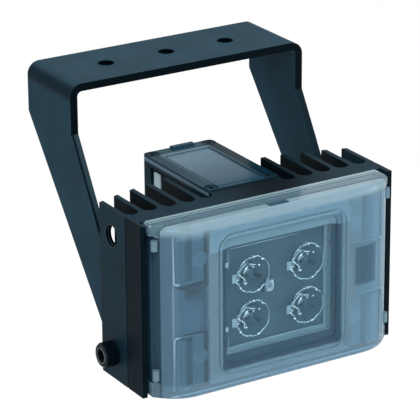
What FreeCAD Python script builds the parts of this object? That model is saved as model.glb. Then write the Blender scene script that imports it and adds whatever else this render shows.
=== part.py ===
import FreeCAD, Part
import math
import os

# White light illuminator on a folded bracket.  Sizes are in millimetres.
# The pieces are drawn about the tilt axis: X runs to the viewer's right, Y to the back and Z up.
# The last step moves them all, so that the origin is the centre of the bracket's mounting face.

Vector = FreeCAD.Vector
X_WAY = Vector(1, 0, 0)
Y_WAY = Vector(0, 1, 0)
Z_WAY = Vector(0, 0, 1)

# Heat sink, one extrusion cut to length
head_width = 100.0
head_height = 61.5
tilt_axis_height = 9.5
side_wall = 1.8
fin_thickness = 1.8
fins_each_side = 4
fin_depth = 25.1
fin_end_arc = 140.0
base_thickness = 7.4
lip_depth = 4.2
side_line_width = 0.6
side_line_depth = 0.3
side_line_setback = 6.1

# Bracket, one folded steel plate
plate_thickness = 2.75
plate_depth = 31.0
plate_setback = 32.15
plate_height = 85.6
knee_height = 68.0
arm_end_radius = 7.0
fold_radius = 4.5
mounting_hole = 5.8
mounting_hole_pitch = 24.25

# Tilt pivot
pivot_thread = 5.0
pivot_head = 8.5
pivot_head_length = 5.0
pivot_key = 4.0
pivot_key_depth = 2.6
pivot_hole = 6.6
pivot_hole_mouth = 8.0
bush_flange = 1.3
bush_flange_diameter = 10.0
screw_end_past_arm = 0.5
running_gap = 0.05
arm_to_root_gap = 1.0
arm_to_fin_gap = 1.15

# Control chamber at the back of the extrusion
chamber_width = 28.2
chamber_depth = 49.0
chamber_wall = 2.2
chamber_slot = 4.9
chamber_corner = 1.5
chamber_front_step = 4.5
port_inset = 2.6
port_radius = 2.6
side_panel_depth = 0.6
side_panel_front = 11.0
side_post = 6.4
side_groove_width = 0.8
side_groove_depth = 1.1

# Lid and bottom cap of the chamber
lid_thickness = 3.0
lid_gasket = 0.6
lid_proud = 0.3
lid_edge_gap = 0.2
lid_panel_width = 18.4
lid_panel_depth = 35.0
lid_panel_recess = 0.4
lid_tab_width = 9.0
lid_tab_depth = 2.0
lid_tab_rise = 0.7
small_thread = 2.5
small_head = 4.4
small_head_length = 1.6
small_screw_reach = 7.0
head_clearance = 0.25

# Front cover, bow-fronted in plan
cover_side_gap = 0.7
cover_depth = 13.0
cover_side_depth = 5.5
cover_slope = 45.0
bow_radius = 16.0
cover_top_edge = 2.2
cover_bottom_edge = 1.2
cover_wall = 1.8
cover_end_wall = 2.8
room_arc_share = 0.9
side_recess = 2.5
side_recess_back = 3.4
side_recess_front = 7.7
side_recess_corner = 1.5
side_rim_step = 1.3
top_ear_height = 3.2
bottom_ear_height = 5.2
window_margin = 4.0
window_corner = 4.0
window_recess = 0.4
window_ridge = 1.0
groove_width = 0.6
groove_cut = 0.4
rim_groove_back = 3.0
pry_notch_width = 7.8
pry_notch_length = 2.6
pry_notch_depth = 1.3
rib_thickness = 1.2
rib_outer_inset = 4.2
rib_span = 9.0
rib_back = 3.6
pocket_corner = 1.5
plinth_depth = 3.0
guide_width = 8.5
guide_rise = 4.75
cover_boss_radius = 2.8
cover_thread = 3.0
cover_screw_head = 5.0
cover_screw_head_length = 2.0
cover_screw_tip_gap = 4.5
cover_screw_rise = 17.5
screw_seat_depth = 0.6
clearance_over_thread = 0.4

# Seal under the front cover
seal_width = 1.0
seal_depth = 1.2
seal_inset_side = 2.5
seal_inset_end = 1.3
seal_corner = 4.0

# Pale frame behind the window
frame_front_gap = 0.3
frame_boss_gap = 0.2
frame_end_gap = 1.3
frame_back_gap = 4.0
frame_edge = 2.3
frame_bar_side = 7.0
frame_bar_end = 7.15
frame_rebate = 1.0
frame_rebate_inset = 1.1
frame_ledge = 1.3
frame_ledge_thickness = 0.6
frame_tab_height = 7.4
frame_tab_width = 1.2
frame_tab_depth = 3.4
frame_peg_radius = 0.5
frame_peg_pitch = 11.7
frame_peg_raise = 1.4

# Lamp stack on the front of the base
board_margin_side = 3.0
board_margin_end = 3.65
spreader_thickness = 4.2
pad_thickness = 1.0
board_thickness = 1.6
board_play = 0.3
board_screw_inset = 2.1
lead_passage = 6.0
lead_radius = 0.7
lead_spacing = 3.0
emitter_base = 0.6
lens_front_gap = 0.5
lens_foot_height = 0.5
lens_leg_radius = 0.6
lens_scallops = 7
lens_scallop_radius = 1.3
lens_scallop_bite = 0.35
lens_tab_width = 1.8
lens_tab_height = 2.6
lens_tab_thickness = 1.0
lamp_x_share = 0.517
lamp_z_share = 0.41
lens_rim_share = 0.338
lens_dish_share = 0.70
lens_leg_share = 0.64
lens_foot_share = 0.48
lens_well_share = 0.29
lens_well_depth_share = 0.61
lens_dish_depth_share = 0.29
lens_edge_share = 0.32
lens_leg_depth_share = 0.29
emitter_side_share = 0.76
emitter_dome_share = 0.63
sensor_x = -3.0
sensor_rise = 1.45
sensor_width = 3.5
sensor_height = 4.3
sensor_depth = 1.8

# Small parts of the chamber
gland_thread = 12.0
gland_hex = 15.0
gland_shoulder = 4.0
gland_wall = 1.2
gland_stub = 6.0
gland_stub_radius = 5.4
gland_nut_length = 9.0
gland_nut_wall = 1.4
gland_nut_roof = 1.6
gland_locknut = 2.5
cord_hole = 6.0
gland_to_board = 1.99
control_board_back = 9.4
control_board_top = 4.8
control_board_play = 0.2
groove_depth = 0.7
terminal_width = 16.0
terminal_depth = 9.0
terminal_height = 9.5
terminal_top = 3.0
terminal_ways = 4
terminal_screw_radius = 1.3
terminal_screw_height = 1.0
adjuster_side = 6.6
adjuster_depth = 4.4
adjuster_x = 5.6
adjuster_rotor_radius = 1.7
adjuster_rotor_height = 0.9
adjuster_slot = 0.6
capacitor_radius = 4.0
capacitor_length = 12.0
capacitor_x = -5.2
coil_radius = 4.4
coil_length = 7.0
coil_x = 5.2
power_part_rise = 14.5
patch_width = 4.2
patch_height = 9.6
patch_thickness = 0.4
patch_corner = 0.6
patch_drop = 4.2
patch_back = 7.6
side_pad_radius = 1.2
side_pad_length = 3.6

# Levels and faces that follow from the sizes above
half_width = head_width / 2
z_bottom = -tilt_axis_height
z_top = z_bottom + head_height
z_middle = (z_top + z_bottom) / 2
slot_root = -(arm_end_radius + arm_to_root_gap)
base_front = slot_root - base_thickness
lip_front = base_front - lip_depth
fin_apex = slot_root + fin_depth
wall_inner = half_width - side_wall
arm_outer = wall_inner - bush_flange
arm_inner = arm_outer - plate_thickness
chamber_half = chamber_width / 2
chamber_rear = slot_root + chamber_depth
lid_front = slot_root + chamber_front_step
port_x = chamber_half - port_inset
port_front = lid_front + port_inset
port_rear = chamber_rear - port_inset
chamber_top = z_top + lid_proud - lid_thickness - lid_gasket
chamber_bottom = z_bottom + lid_thickness + lid_gasket
cavity_front = lid_front + chamber_wall
cavity_rear = chamber_rear - chamber_wall
cavity_half = chamber_half - chamber_wall
outer_fin = arm_inner - arm_to_fin_gap - fin_thickness / 2
inner_fin = chamber_half + chamber_slot + fin_thickness / 2
fin_pitch = (outer_fin - inner_fin) / (fins_each_side - 1)
fin_centres = [inner_fin + fin_pitch * k for k in range(fins_each_side)]
slope_angle = math.radians(cover_slope)
cover_half = wall_inner - cover_side_gap
cover_face = base_front - cover_depth
cover_inside = cover_face + cover_wall
face_corner_x = cover_half - (cover_depth - cover_side_depth) / math.tan(slope_angle)
recess_floor = cover_half - side_recess
joint_y = base_front - side_recess_front
joint_x = face_corner_x + (joint_y - cover_face) / math.tan(slope_angle)
spreader_front = base_front - spreader_thickness
pad_front = spreader_front - pad_thickness
board_front = pad_front - board_thickness
cover_screw_x = (fin_centres[-2] + fin_centres[-3]) / 2
rib_outer_x = recess_floor - rib_outer_inset
rib_rear = base_front - rib_back
well_x = cover_screw_x + cover_boss_radius + rib_thickness
frame_half_width = cover_screw_x - cover_boss_radius - frame_boss_gap
frame_half_height = head_height / 2 - cover_end_wall - frame_end_gap
window_half = frame_half_width - window_margin
opening_half_width = frame_half_width - frame_bar_side
opening_half_height = frame_half_height - frame_bar_end
lamp_x = opening_half_width * lamp_x_share
lamp_z = opening_half_height * lamp_z_share
lens_rim_radius = min(opening_half_width, opening_half_height) * lens_rim_share
lens_dish_radius = lens_rim_radius * lens_dish_share
lens_leg_circle = lens_rim_radius * lens_leg_share
lens_foot_radius = lens_rim_radius * lens_foot_share
lens_well_radius = lens_rim_radius * lens_well_share
emitter_side = lens_rim_radius * emitter_side_share
lens_foot_y = board_front - emitter_base - lens_foot_height
lens_rim_y = cover_inside + lens_front_gap
lens_height = lens_foot_y - lens_rim_y
lens_well_depth = lens_height * lens_well_depth_share
emitter_dome = (lens_foot_height + lens_well_depth) * emitter_dome_share
spreader_half_width = frame_half_width - board_margin_side
spreader_half_height = frame_half_height - board_margin_end
board_screw_x = spreader_half_width - board_screw_inset
board_screw_z = spreader_half_height - board_screw_inset
cover_screw_seat = slot_root - screw_seat_depth
cover_screw_tip = cover_inside + cover_screw_tip_gap
control_board_y = cavity_rear - control_board_back
gland_y = control_board_y - gland_to_board - gland_hex / math.sqrt(3)
cap_inside = z_bottom + lid_thickness
board_top_z = chamber_top - control_board_top
power_part_z = chamber_bottom + power_part_rise


def box(x0, x1, y0, y1, z0, z1):
    """Block between two corners."""
    return Part.makeBox(x1 - x0, y1 - y0, z1 - z0, Vector(x0, y0, z0))


def rod(radius, start, way, length):
    """Round bar that starts at a point and runs along a direction."""
    return Part.makeCylinder(radius, length, start, way)


def cone(radius_start, radius_end, start, way, length):
    """Tapered round bar."""
    return Part.makeCone(radius_start, radius_end, length, start, way)


def hexagon(across_flats, start, way, length):
    """Hexagonal bar, with a flat facing the first cross direction."""
    radius = across_flats / math.sqrt(3)
    side = Z_WAY if abs(way.x) > 0 else X_WAY
    other = way.cross(side)
    corners = []
    for k in range(7):
        turn = math.radians(60 * k + 30)
        corners.append(start + side * (radius * math.cos(turn)) + other * (radius * math.sin(turn)))
    return Part.Face(Part.makePolygon(corners)).extrude(way * length)


def edges_along(shape, way):
    """Straight edges of a shape that run along a direction."""
    found = []
    for edge in shape.Edges:
        straight = edge.Curve.TypeId == "Part::GeomLine"
        if straight and abs(edge.tangentAt(edge.FirstParameter).dot(way)) > 0.999:
            found.append(edge)
    return found


def edges_on_y(shape, level):
    """Edges of a shape that lie in the plane at one depth."""
    found = []
    for edge in shape.Edges:
        limits = edge.BoundBox
        if abs(limits.YMin - level) < 0.001 and abs(limits.YMax - level) < 0.001:
            found.append(edge)
    return found


def rounded_block(half, y0, y1, z0, z1, corner):
    """Block centred on X, with its four edges along Y rounded."""
    block = box(-half, half, y0, y1, z0, z1)
    return block.makeFillet(corner, edges_along(block, Y_WAY))


def centred_block(half_x, y0, y1, half_z, corner):
    """Rounded block centred on the middle of the head."""
    return rounded_block(half_x, y0, y1, z_middle - half_z, z_middle + half_z, corner)


def mirrored(shape):
    """The same shape on the other side of the middle plane."""
    return shape.mirror(Vector(0, 0, 0), X_WAY)


def both_sides(shape):
    """A shape and its mirror image."""
    return [shape, mirrored(shape)]


def cut_all(body, tools):
    """Take every tool away from a body."""
    for tool in tools:
        body = body.cut(tool)
    return body


def join_all(body, others):
    """Make one solid out of a body and its additions."""
    for other in others:
        body = body.fuse(other)
    return body.removeSplitter()


def four_places(x, rise):
    """Two by two places about the middle of the head, as (x, z)."""
    return [(sx * x, z_middle + sz * rise) for sx in (-1, 1) for sz in (-1, 1)]


def port_places():
    """The four screw ports of the chamber, as (x, y)."""
    return [(sx * port_x, y) for sx in (-1, 1) for y in (port_front, port_rear)]


def touch_angle(corner_y, corner_z, side):
    """Angle at which a line from a knee of the arm touches its round end."""
    reach = math.hypot(corner_y, corner_z)
    return math.atan2(corner_z, corner_y) + side * math.acos(arm_end_radius / reach)


def arm_end_point(angle):
    """Point on the round end of the arm."""
    return Vector(0, arm_end_radius * math.cos(angle), arm_end_radius * math.sin(angle))


def arm_outline():
    """Side view of the bracket, seen along X."""
    front = plate_setback
    back = plate_setback + plate_depth
    angle_front = touch_angle(front, knee_height, 1)
    angle_back = touch_angle(back, knee_height, -1)
    touch_front = arm_end_point(angle_front)
    touch_back = arm_end_point(angle_back)
    points = [touch_front, Vector(0, front, knee_height), Vector(0, front, plate_height),
              Vector(0, back, plate_height), Vector(0, back, knee_height), touch_back]
    lines = [Part.makeLine(a, b) for a, b in zip(points, points[1:])]
    lowest = arm_end_point((angle_front + angle_back) / 2 + math.pi)
    lines.append(Part.Arc(touch_back, lowest, touch_front).toShape())
    return Part.Face(Part.Wire(lines))


def make_bracket():
    """Three-sided strap: a mounting face with a folded arm at each end."""
    back = plate_setback + plate_depth
    foot = -arm_end_radius
    outer = box(-arm_outer, arm_outer, foot, back, foot, plate_height)
    outer = outer.makeFillet(fold_radius, [e for e in edges_along(outer, Y_WAY) if e.BoundBox.ZMin > 0])
    inner = box(-arm_inner, arm_inner, foot, back, foot, plate_height - plate_thickness)
    inner_radius = fold_radius - plate_thickness
    inner = inner.makeFillet(inner_radius, [e for e in edges_along(inner, Y_WAY) if e.BoundBox.ZMin > 0])
    side_view = arm_outline().extrude(X_WAY * head_width)
    side_view.translate(Vector(-half_width, 0, 0))
    strap = outer.cut(inner).common(side_view)
    tools = [rod(pivot_thread / 2, Vector(-half_width, 0, 0), X_WAY, head_width)]
    for k in (-1, 0, 1):
        start = Vector(k * mounting_hole_pitch, plate_setback + plate_depth / 2, knee_height)
        tools.append(rod(mounting_hole / 2, start, Z_WAY, plate_height))
    return cut_all(strap, tools)


def make_pivot_screws():
    """Two socket head screws: each passes its bush and is tapped into its arm."""
    head = rod(pivot_head / 2, Vector(half_width, 0, 0), X_WAY, pivot_head_length)
    rim = [e for e in head.Edges if e.BoundBox.XMin > half_width + pivot_head_length / 2]
    head = head.makeChamfer(pivot_thread / 10, rim)
    end = arm_inner - screw_end_past_arm
    shank = rod(pivot_thread / 2, Vector(end, 0, 0), X_WAY, half_width - end)
    face = half_width + pivot_head_length
    key = hexagon(pivot_key, Vector(face - pivot_key_depth, 0, 0), X_WAY, pivot_key_depth)
    screw = join_all(head, [shank]).cut(key)
    return both_sides(screw)


def make_pivot_bushes():
    """Two flanged plastic bushes, one in each side wall of the head."""
    mouth = (pivot_hole_mouth - pivot_hole) / 2
    flange = rod(bush_flange_diameter / 2, Vector(arm_outer, 0, 0), X_WAY, bush_flange)
    sleeve = rod(pivot_hole / 2, Vector(wall_inner, 0, 0), X_WAY, side_wall - mouth)
    bore = rod(pivot_thread / 2 + running_gap, Vector(arm_inner, 0, 0), X_WAY, half_width - arm_inner)
    return both_sides(join_all(flange, [sleeve]).cut(bore))


def slot_between(x0, x1):
    """Open slot with a round root, right through the extrusion."""
    radius = (x1 - x0) / 2
    centre = slot_root + radius
    straight = box(x0, x1, centre, fin_apex + base_thickness, z_bottom, z_top)
    root = rod(radius, Vector(x0 + radius, centre, z_bottom), Z_WAY, head_height)
    return straight.fuse(root)


def extrusion_blank():
    """Base with its fins: the fin ends follow one wide arc."""
    half_fin = fin_thickness / 2
    body = box(-half_width, half_width, base_front, fin_apex, z_bottom, z_top)
    arc_centre = Vector(0, fin_apex - fin_end_arc, z_bottom)
    body = body.common(rod(fin_end_arc, arc_centre, Z_WAY, head_height))
    starts = [chamber_half] + [x + half_fin for x in fin_centres]
    ends = [x - half_fin for x in fin_centres] + [wall_inner]
    for x0, x1 in zip(starts, ends):
        body = cut_all(body, both_sides(slot_between(x0, x1)))
    lip = box(wall_inner, half_width, lip_front, base_front, z_bottom, z_top)
    return join_all(body, both_sides(lip))


def chamber_block():
    """Outside of the control chamber, with its side panels and grooves."""
    block = box(-chamber_half, chamber_half, slot_root, chamber_rear, z_bottom, z_top)
    rear = [e for e in edges_along(block, Z_WAY) if e.BoundBox.YMin > fin_apex]
    block = block.makeFillet(chamber_corner, rear)
    post = chamber_rear - side_post
    panel = box(chamber_half - side_panel_depth, half_width, slot_root + side_panel_front, post,
                z_bottom, z_top)
    groove = box(chamber_half - side_groove_depth, half_width, post, post + side_groove_width,
                 z_bottom, z_top)
    return cut_all(block, both_sides(panel) + both_sides(groove))


def chamber_room():
    """Space inside the chamber, between its four screw ports."""
    room = box(-cavity_half, cavity_half, cavity_front, cavity_rear, z_bottom, z_top)
    for x, y in port_places():
        room = room.cut(rod(port_radius, Vector(x, y, z_bottom), Z_WAY, head_height))
    reach = cavity_half + groove_depth
    grooves = box(-reach, reach, control_board_y - running_gap,
                  control_board_y + board_thickness + running_gap, z_bottom, z_top)
    return room.fuse(grooves)


def wall_hole(z):
    """Hole through both side walls, countersunk on the outside."""
    mouth = (pivot_hole_mouth - pivot_hole) / 2
    start = Vector(wall_inner - mouth, 0, z)
    hole = rod(pivot_hole / 2, start, X_WAY, side_wall + mouth)
    sink = cone(pivot_hole / 2, pivot_hole_mouth / 2, Vector(half_width - mouth, 0, z), X_WAY, mouth)
    return both_sides(hole.fuse(sink))


def make_heat_sink():
    """Black anodised extrusion: base, fins, side walls and chamber in one piece."""
    body = join_all(extrusion_blank(), [chamber_block()]).cut(chamber_room())
    past = chamber_rear + chamber_wall
    reach = chamber_half + chamber_corner
    ends = [box(-reach, reach, lid_front, past, chamber_top, z_top),
            box(-reach, reach, lid_front, past, z_bottom, chamber_bottom)]
    body = cut_all(body, ends)
    tools = wall_hole(0) + wall_hole(z_top - tilt_axis_height)
    for x, y in port_places():
        tools.append(rod(small_thread / 2, Vector(x, y, chamber_top - small_screw_reach), Z_WAY,
                         small_screw_reach))
        tools.append(rod(small_thread / 2, Vector(x, y, chamber_bottom), Z_WAY, small_screw_reach))
    for x, z in four_places(board_screw_x, board_screw_z):
        tools.append(rod(small_thread / 2, Vector(x, base_front, z), Y_WAY, base_thickness / 2))
    for x, z in four_places(cover_screw_x, cover_screw_rise):
        seat = rod(cover_screw_head / 2 + head_clearance, Vector(x, cover_screw_seat, z), Y_WAY,
                   cover_screw_head)
        hole = rod((cover_thread + clearance_over_thread) / 2, Vector(x, base_front, z), Y_WAY,
                   base_thickness)
        tools += [seat, hole]
    tools.append(rod(lead_passage / 2, Vector(0, base_front, z_middle), Y_WAY, cavity_front - base_front))
    line_y = lip_front + side_line_setback + lip_depth
    line = box(half_width - side_line_depth, half_width, line_y - side_line_width, line_y, z_bottom, z_top)
    tools += both_sides(line)
    return cut_all(body, tools)


def opposite(point):
    """The mirror image of a point."""
    return Vector(-point.x, point.y, point.z)


def bow_block(half, corner_x, face, radius, z0, z1):
    """Block with a bowed front: flat face, wide arcs and sloping sides, in front of the base."""
    reach = radius * math.tan(slope_angle / 2)
    rear = Vector(half, base_front, z0)
    side = Vector(half, face + (half - corner_x) * math.tan(slope_angle), z0)
    start = Vector(corner_x + reach * math.cos(slope_angle), face + reach * math.sin(slope_angle), z0)
    middle = Vector(corner_x - reach + radius * math.sin(slope_angle / 2),
                    face + radius * (1 - math.cos(slope_angle / 2)), z0)
    end = Vector(corner_x - reach, face, z0)
    lines = [Part.makeLine(rear, side), Part.makeLine(side, start), Part.Arc(start, middle, end).toShape(),
             Part.makeLine(end, opposite(end)),
             Part.Arc(opposite(end), opposite(middle), opposite(start)).toShape(),
             Part.makeLine(opposite(start), opposite(side)), Part.makeLine(opposite(side), opposite(rear)),
             Part.makeLine(opposite(rear), rear)]
    return Part.Face(Part.Wire(lines)).extrude(Z_WAY * (z1 - z0))


def front_edges(block, level):
    """Edges round the front and sides of a block at one height."""
    found = []
    for edge in block.Edges:
        limits = edge.BoundBox
        level_edge = abs(limits.ZMin - level) < 0.001 and abs(limits.ZMax - level) < 0.001
        if level_edge and limits.YMin < base_front - 1:
            found.append(edge)
    return found


def cover_blank():
    """Outside of the cover, with its softened edges and the recess in each side."""
    block = bow_block(cover_half, face_corner_x, cover_face, bow_radius, z_bottom, z_top)
    turns = [e for e in edges_along(block, Z_WAY) if e.BoundBox.YMax < base_front - 1]
    block = block.makeFillet(side_recess_corner, [e for e in turns if abs(e.BoundBox.XMin) > recess_floor])
    block = block.makeFillet(cover_top_edge, front_edges(block, z_top))
    block = block.makeFillet(cover_bottom_edge, front_edges(block, z_bottom))
    low = z_bottom + bottom_ear_height
    high = z_top - top_ear_height
    pocket = box(recess_floor, half_width, joint_y, base_front - side_recess_back, low, high)
    pocket = pocket.makeFillet(side_recess_corner, edges_along(pocket, X_WAY))
    rim = box(cover_half - side_rim_step, half_width, lip_front, base_front, low, high)
    return cut_all(block, both_sides(pocket) + both_sides(rim))


def cover_pocket(z0, z1):
    """Corner block: a deep well at the outside, and walls with a plinth round the screw boss."""
    start = frame_half_width + frame_boss_gap
    half = rib_thickness / 2
    block = box(start, rib_outer_x + half, cover_inside, rib_rear, z0, z1)
    low = z0 + rib_thickness
    high = z1 - rib_thickness
    well = box(well_x, rib_outer_x - half, cover_inside, rib_rear, low, high)
    well = well.makeFillet(pocket_corner, edges_along(well, Y_WAY))
    room = box(start + rib_thickness, well_x - rib_thickness, cover_inside + plinth_depth, rib_rear,
               low, high)
    return block.cut(well).cut(room)


def cover_ribs():
    """Four corner blocks, the ribs between them, and a guide block on the left only."""
    half = rib_thickness / 2
    end = head_height / 2 - cover_end_wall + rib_thickness
    inner = rib_span - half
    parts = both_sides(cover_pocket(z_middle + inner, z_middle + end))
    parts += both_sides(cover_pocket(z_middle - end, z_middle - inner))
    parts += both_sides(box(rib_outer_x - half, rib_outer_x + half, cover_inside, rib_rear,
                            z_middle - rib_span, z_middle + rib_span))
    guide_end = frame_half_width + frame_tab_width + frame_boss_gap
    parts.append(box(-guide_end - guide_width, -guide_end, cover_inside, cover_inside + plinth_depth,
                     z_middle - rib_span, z_middle + guide_rise))
    return parts


def cover_room():
    """Hollow of the cover, one wall inside its face and its side recesses."""
    half = recess_floor - cover_wall
    corner_x = face_corner_x - cover_wall * math.tan(slope_angle / 2)
    full_arc = (half - corner_x) / (math.tan(slope_angle / 2) * math.cos(slope_angle))
    return bow_block(half, corner_x, cover_inside, full_arc * room_arc_share, z_bottom + cover_end_wall,
                     z_top - cover_end_wall)


def ring_groove():
    """Parting groove round the cover, in line with the front of the side recesses."""
    y0 = joint_y - groove_width / 2
    y1 = joint_y + groove_width / 2
    inner_x = joint_x - groove_cut
    outer = box(-half_width, half_width, y0, y1, z_bottom, z_top)
    return outer.cut(box(-inner_x, inner_x, y0, y1, z_bottom + groove_cut, z_top - groove_cut))


def window_plate(margin):
    """Rounded square sunk in the face of the cover, some way outside the clear window."""
    half = window_half + margin
    return centred_block(half, cover_face, cover_face + window_recess, half, window_corner + margin)


def make_front_cover():
    """Frosted cover: bowed front, side recesses between its ears, ribs and screw bosses."""
    blank = cover_blank()
    room = cover_room()
    body = blank.cut(room)
    body = join_all(body, [rib.common(blank) for rib in cover_ribs()])
    for x, z in four_places(cover_screw_x, cover_screw_rise):
        height = base_front - cover_inside
        body = body.fuse(rod(cover_boss_radius, Vector(x, cover_inside, z), Y_WAY, height))
        body = body.cut(rod(cover_thread / 2, Vector(x, cover_screw_tip, z), Y_WAY, cover_depth))
    tools = [window_plate(0), window_plate(window_ridge + groove_width).cut(window_plate(window_ridge))]
    tools += [seal_ring(), ring_groove()]
    groove_y = base_front - rim_groove_back
    tools.append(box(-half_width, half_width, groove_y - groove_width / 2, groove_y + groove_width / 2,
                     z_top - groove_cut, z_top))
    half = pry_notch_width / 2
    for z in (z_top - pry_notch_depth, z_bottom):
        tools.append(box(-half, half, joint_y - pry_notch_length, joint_y, z, z + pry_notch_depth))
    return cut_all(body, tools).removeSplitter()


def seal_ring():
    """Square-section seal in the back of the cover."""
    half = cover_half - seal_inset_side
    y0 = base_front - seal_depth
    z0 = z_bottom + seal_inset_end
    z1 = z_top - seal_inset_end
    outer = rounded_block(half, y0, base_front, z0, z1, seal_corner)
    inner = rounded_block(half - seal_width, y0, base_front, z0 + seal_width, z1 - seal_width,
                          seal_corner - seal_width)
    return outer.cut(inner)


def make_cover_screws():
    """Four screws from behind, sunk between the fins."""
    screws = []
    for x, z in four_places(cover_screw_x, cover_screw_rise):
        head = rod(cover_screw_head / 2, Vector(x, cover_screw_seat, z), Y_WAY, cover_screw_head_length)
        length = cover_screw_seat - cover_screw_tip
        shank = rod(cover_thread / 2, Vector(x, cover_screw_tip, z), Y_WAY, length)
        bottom = cover_screw_seat + cover_screw_head_length / 2
        key = hexagon(cover_thread * 2 / 3, Vector(x, bottom, z), Y_WAY, cover_screw_head_length)
        screws.append(join_all(head, [shank]).cut(key))
    return screws


def make_side_pads():
    """Four soft pads in the side recesses, one near each ear."""
    x = recess_floor + side_pad_radius
    y = joint_y + side_pad_radius + running_gap
    pads = []
    low = z_bottom + bottom_ear_height + side_recess_corner
    high = z_top - top_ear_height - side_recess_corner - side_pad_length
    for z in (low, high):
        pads += both_sides(rod(side_pad_radius, Vector(x, y, z), Z_WAY, side_pad_length))
    return pads


def frame_opening(y0, y1, half_width, half_height):
    """Straight-walled way through the window frame."""
    return box(-half_width, half_width, y0, y1, z_middle - half_height, z_middle + half_height)


def make_window_frame():
    """Pale frame that holds the lamp board down and borders the window."""
    front = cover_inside + frame_front_gap
    back = base_front - frame_back_gap
    ledge_front = board_front - frame_ledge_thickness
    rebate_floor = front + frame_rebate
    rebate_half = window_half - frame_rebate_inset
    body = frame_opening(front, back, frame_half_width, frame_half_height)
    turns = [e for e in edges_along(body, X_WAY) if e.BoundBox.YMax < board_front]
    body = body.makeChamfer(frame_edge, turns)
    body = body.cut(centred_block(rebate_half, front, rebate_floor, rebate_half,
                                  window_corner - frame_rebate_inset))
    body = body.cut(frame_opening(front, ledge_front, opening_half_width, opening_half_height))
    body = body.cut(frame_opening(ledge_front, back, opening_half_width - frame_ledge,
                                  opening_half_height - frame_ledge))
    body = body.cut(frame_opening(board_front, back, spreader_half_width + board_play,
                                  spreader_half_height + board_play))
    for x, z in four_places(board_screw_x, board_screw_z):
        depth = small_head_length + head_clearance
        start = Vector(x, board_front - depth, z)
        body = body.cut(rod(small_head / 2 + head_clearance, start, Y_WAY, depth))
    half_tab = frame_tab_height / 2
    tab = box(frame_half_width, frame_half_width + frame_tab_width, front, front + frame_tab_depth,
              z_middle - half_tab, z_middle + half_tab)
    pegs = []
    for k in (-1, 0, 1):
        start = Vector(opening_half_width, rebate_floor, z_middle + frame_peg_raise + k * frame_peg_pitch)
        pegs += both_sides(rod(frame_peg_radius, start, Y_WAY, ledge_front - rebate_floor))
    return join_all(body, both_sides(tab) + pegs)


def lamp_plate(y0, y1, hole):
    """Flat layer of the lamp stack with its four screw holes."""
    plate = centred_block(spreader_half_width, y0, y1, spreader_half_height, board_thickness)
    tools = [rod(hole, Vector(x, y0, z), Y_WAY, y1 - y0)
             for x, z in four_places(board_screw_x, board_screw_z)]
    return cut_all(plate, tools)


def lead_hole(y0, y1):
    """Room for the two lamp leads."""
    return rod(lead_passage / 2, Vector(0, y0, z_middle), Y_WAY, y1 - y0)


def make_heat_spreader():
    """Aluminium block that carries the lamp board in front of the base."""
    plate = lamp_plate(spreader_front, base_front, small_thread / 2)
    return plate.cut(lead_hole(spreader_front, base_front))


def make_thermal_pad():
    """Soft grey pad between board and block."""
    plate = lamp_plate(pad_front, spreader_front, small_thread / 2)
    return plate.cut(lead_hole(pad_front, spreader_front))


def make_led_board():
    """Metal core board of the lamps."""
    return lamp_plate(board_front, pad_front, small_thread / 2)


def make_board_screws():
    """Four screws through the lamp stack into the base."""
    length = base_front - board_front + base_thickness / 2
    screws = []
    for x, z in four_places(board_screw_x, board_screw_z):
        head = rod(small_head / 2, Vector(x, board_front - small_head_length, z), Y_WAY, small_head_length)
        shank = rod(small_thread / 2, Vector(x, board_front, z), Y_WAY, length)
        screws.append(join_all(head, [shank]))
    return screws


def make_led_emitters():
    """Four lamps: a square carrier with a clear dome."""
    half = emitter_side / 2
    lamps = []
    for x, z in four_places(lamp_x, lamp_z):
        carrier = box(x - half, x + half, board_front - emitter_base, board_front, z - half, z + half)
        dome = Part.makeSphere(emitter_dome, Vector(x, board_front - emitter_base, z))
        front = box(x - half, x + half, board_front - emitter_base - half, board_front - emitter_base,
                    z - half, z + half)
        lamps.append(join_all(carrier, [dome.common(front)]))
    return lamps


def make_lens(x, z):
    """Flared lens with a scalloped rim, a well for the lamp and three legs."""
    edge = lens_rim_y + lens_height * lens_edge_share
    well = lens_foot_y - lens_well_depth
    dish = lens_rim_y + lens_height * lens_dish_depth_share
    outline = [(0, well), (lens_well_radius, well), (lens_well_radius, lens_foot_y),
               (lens_foot_radius, lens_foot_y), (lens_rim_radius, edge), (lens_rim_radius, lens_rim_y),
               (lens_dish_radius, lens_rim_y), (0, dish)]
    points = [Vector(r, y, 0) for r, y in outline]
    face = Part.Face(Part.makePolygon(points + points[:1]))
    lens = face.revolve(Vector(0, 0, 0), Y_WAY, 360)
    lens.translate(Vector(x, 0, z))
    reach = lens_rim_radius + lens_scallop_radius - lens_scallop_bite
    for k in range(lens_scallops):
        turn = math.radians(360 * k / lens_scallops)
        centre = Vector(x + reach * math.cos(turn), lens_rim_y, z + reach * math.sin(turn))
        lens = lens.cut(rod(lens_scallop_radius, centre, Y_WAY, lens_height))
    additions = []
    leg_end = lens_foot_y - lens_height * lens_leg_depth_share
    for k in range(3):
        turn = math.radians(120 * k + 90)
        centre = Vector(x + lens_leg_circle * math.cos(turn), leg_end, z + lens_leg_circle * math.sin(turn))
        additions.append(rod(lens_leg_radius, centre, Y_WAY, board_front - leg_end))
    root = x - lens_rim_radius + lens_scallop_bite * 2
    half = lens_tab_height / 2
    additions.append(box(root - lens_tab_width - lens_scallop_bite, root, lens_rim_y,
                         lens_rim_y + lens_tab_thickness, z - half, z + half))
    return join_all(lens, additions)


def make_led_lenses():
    """The four lenses in front of the lamps."""
    return [make_lens(x, z) for x, z in four_places(lamp_x, lamp_z)]


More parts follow.
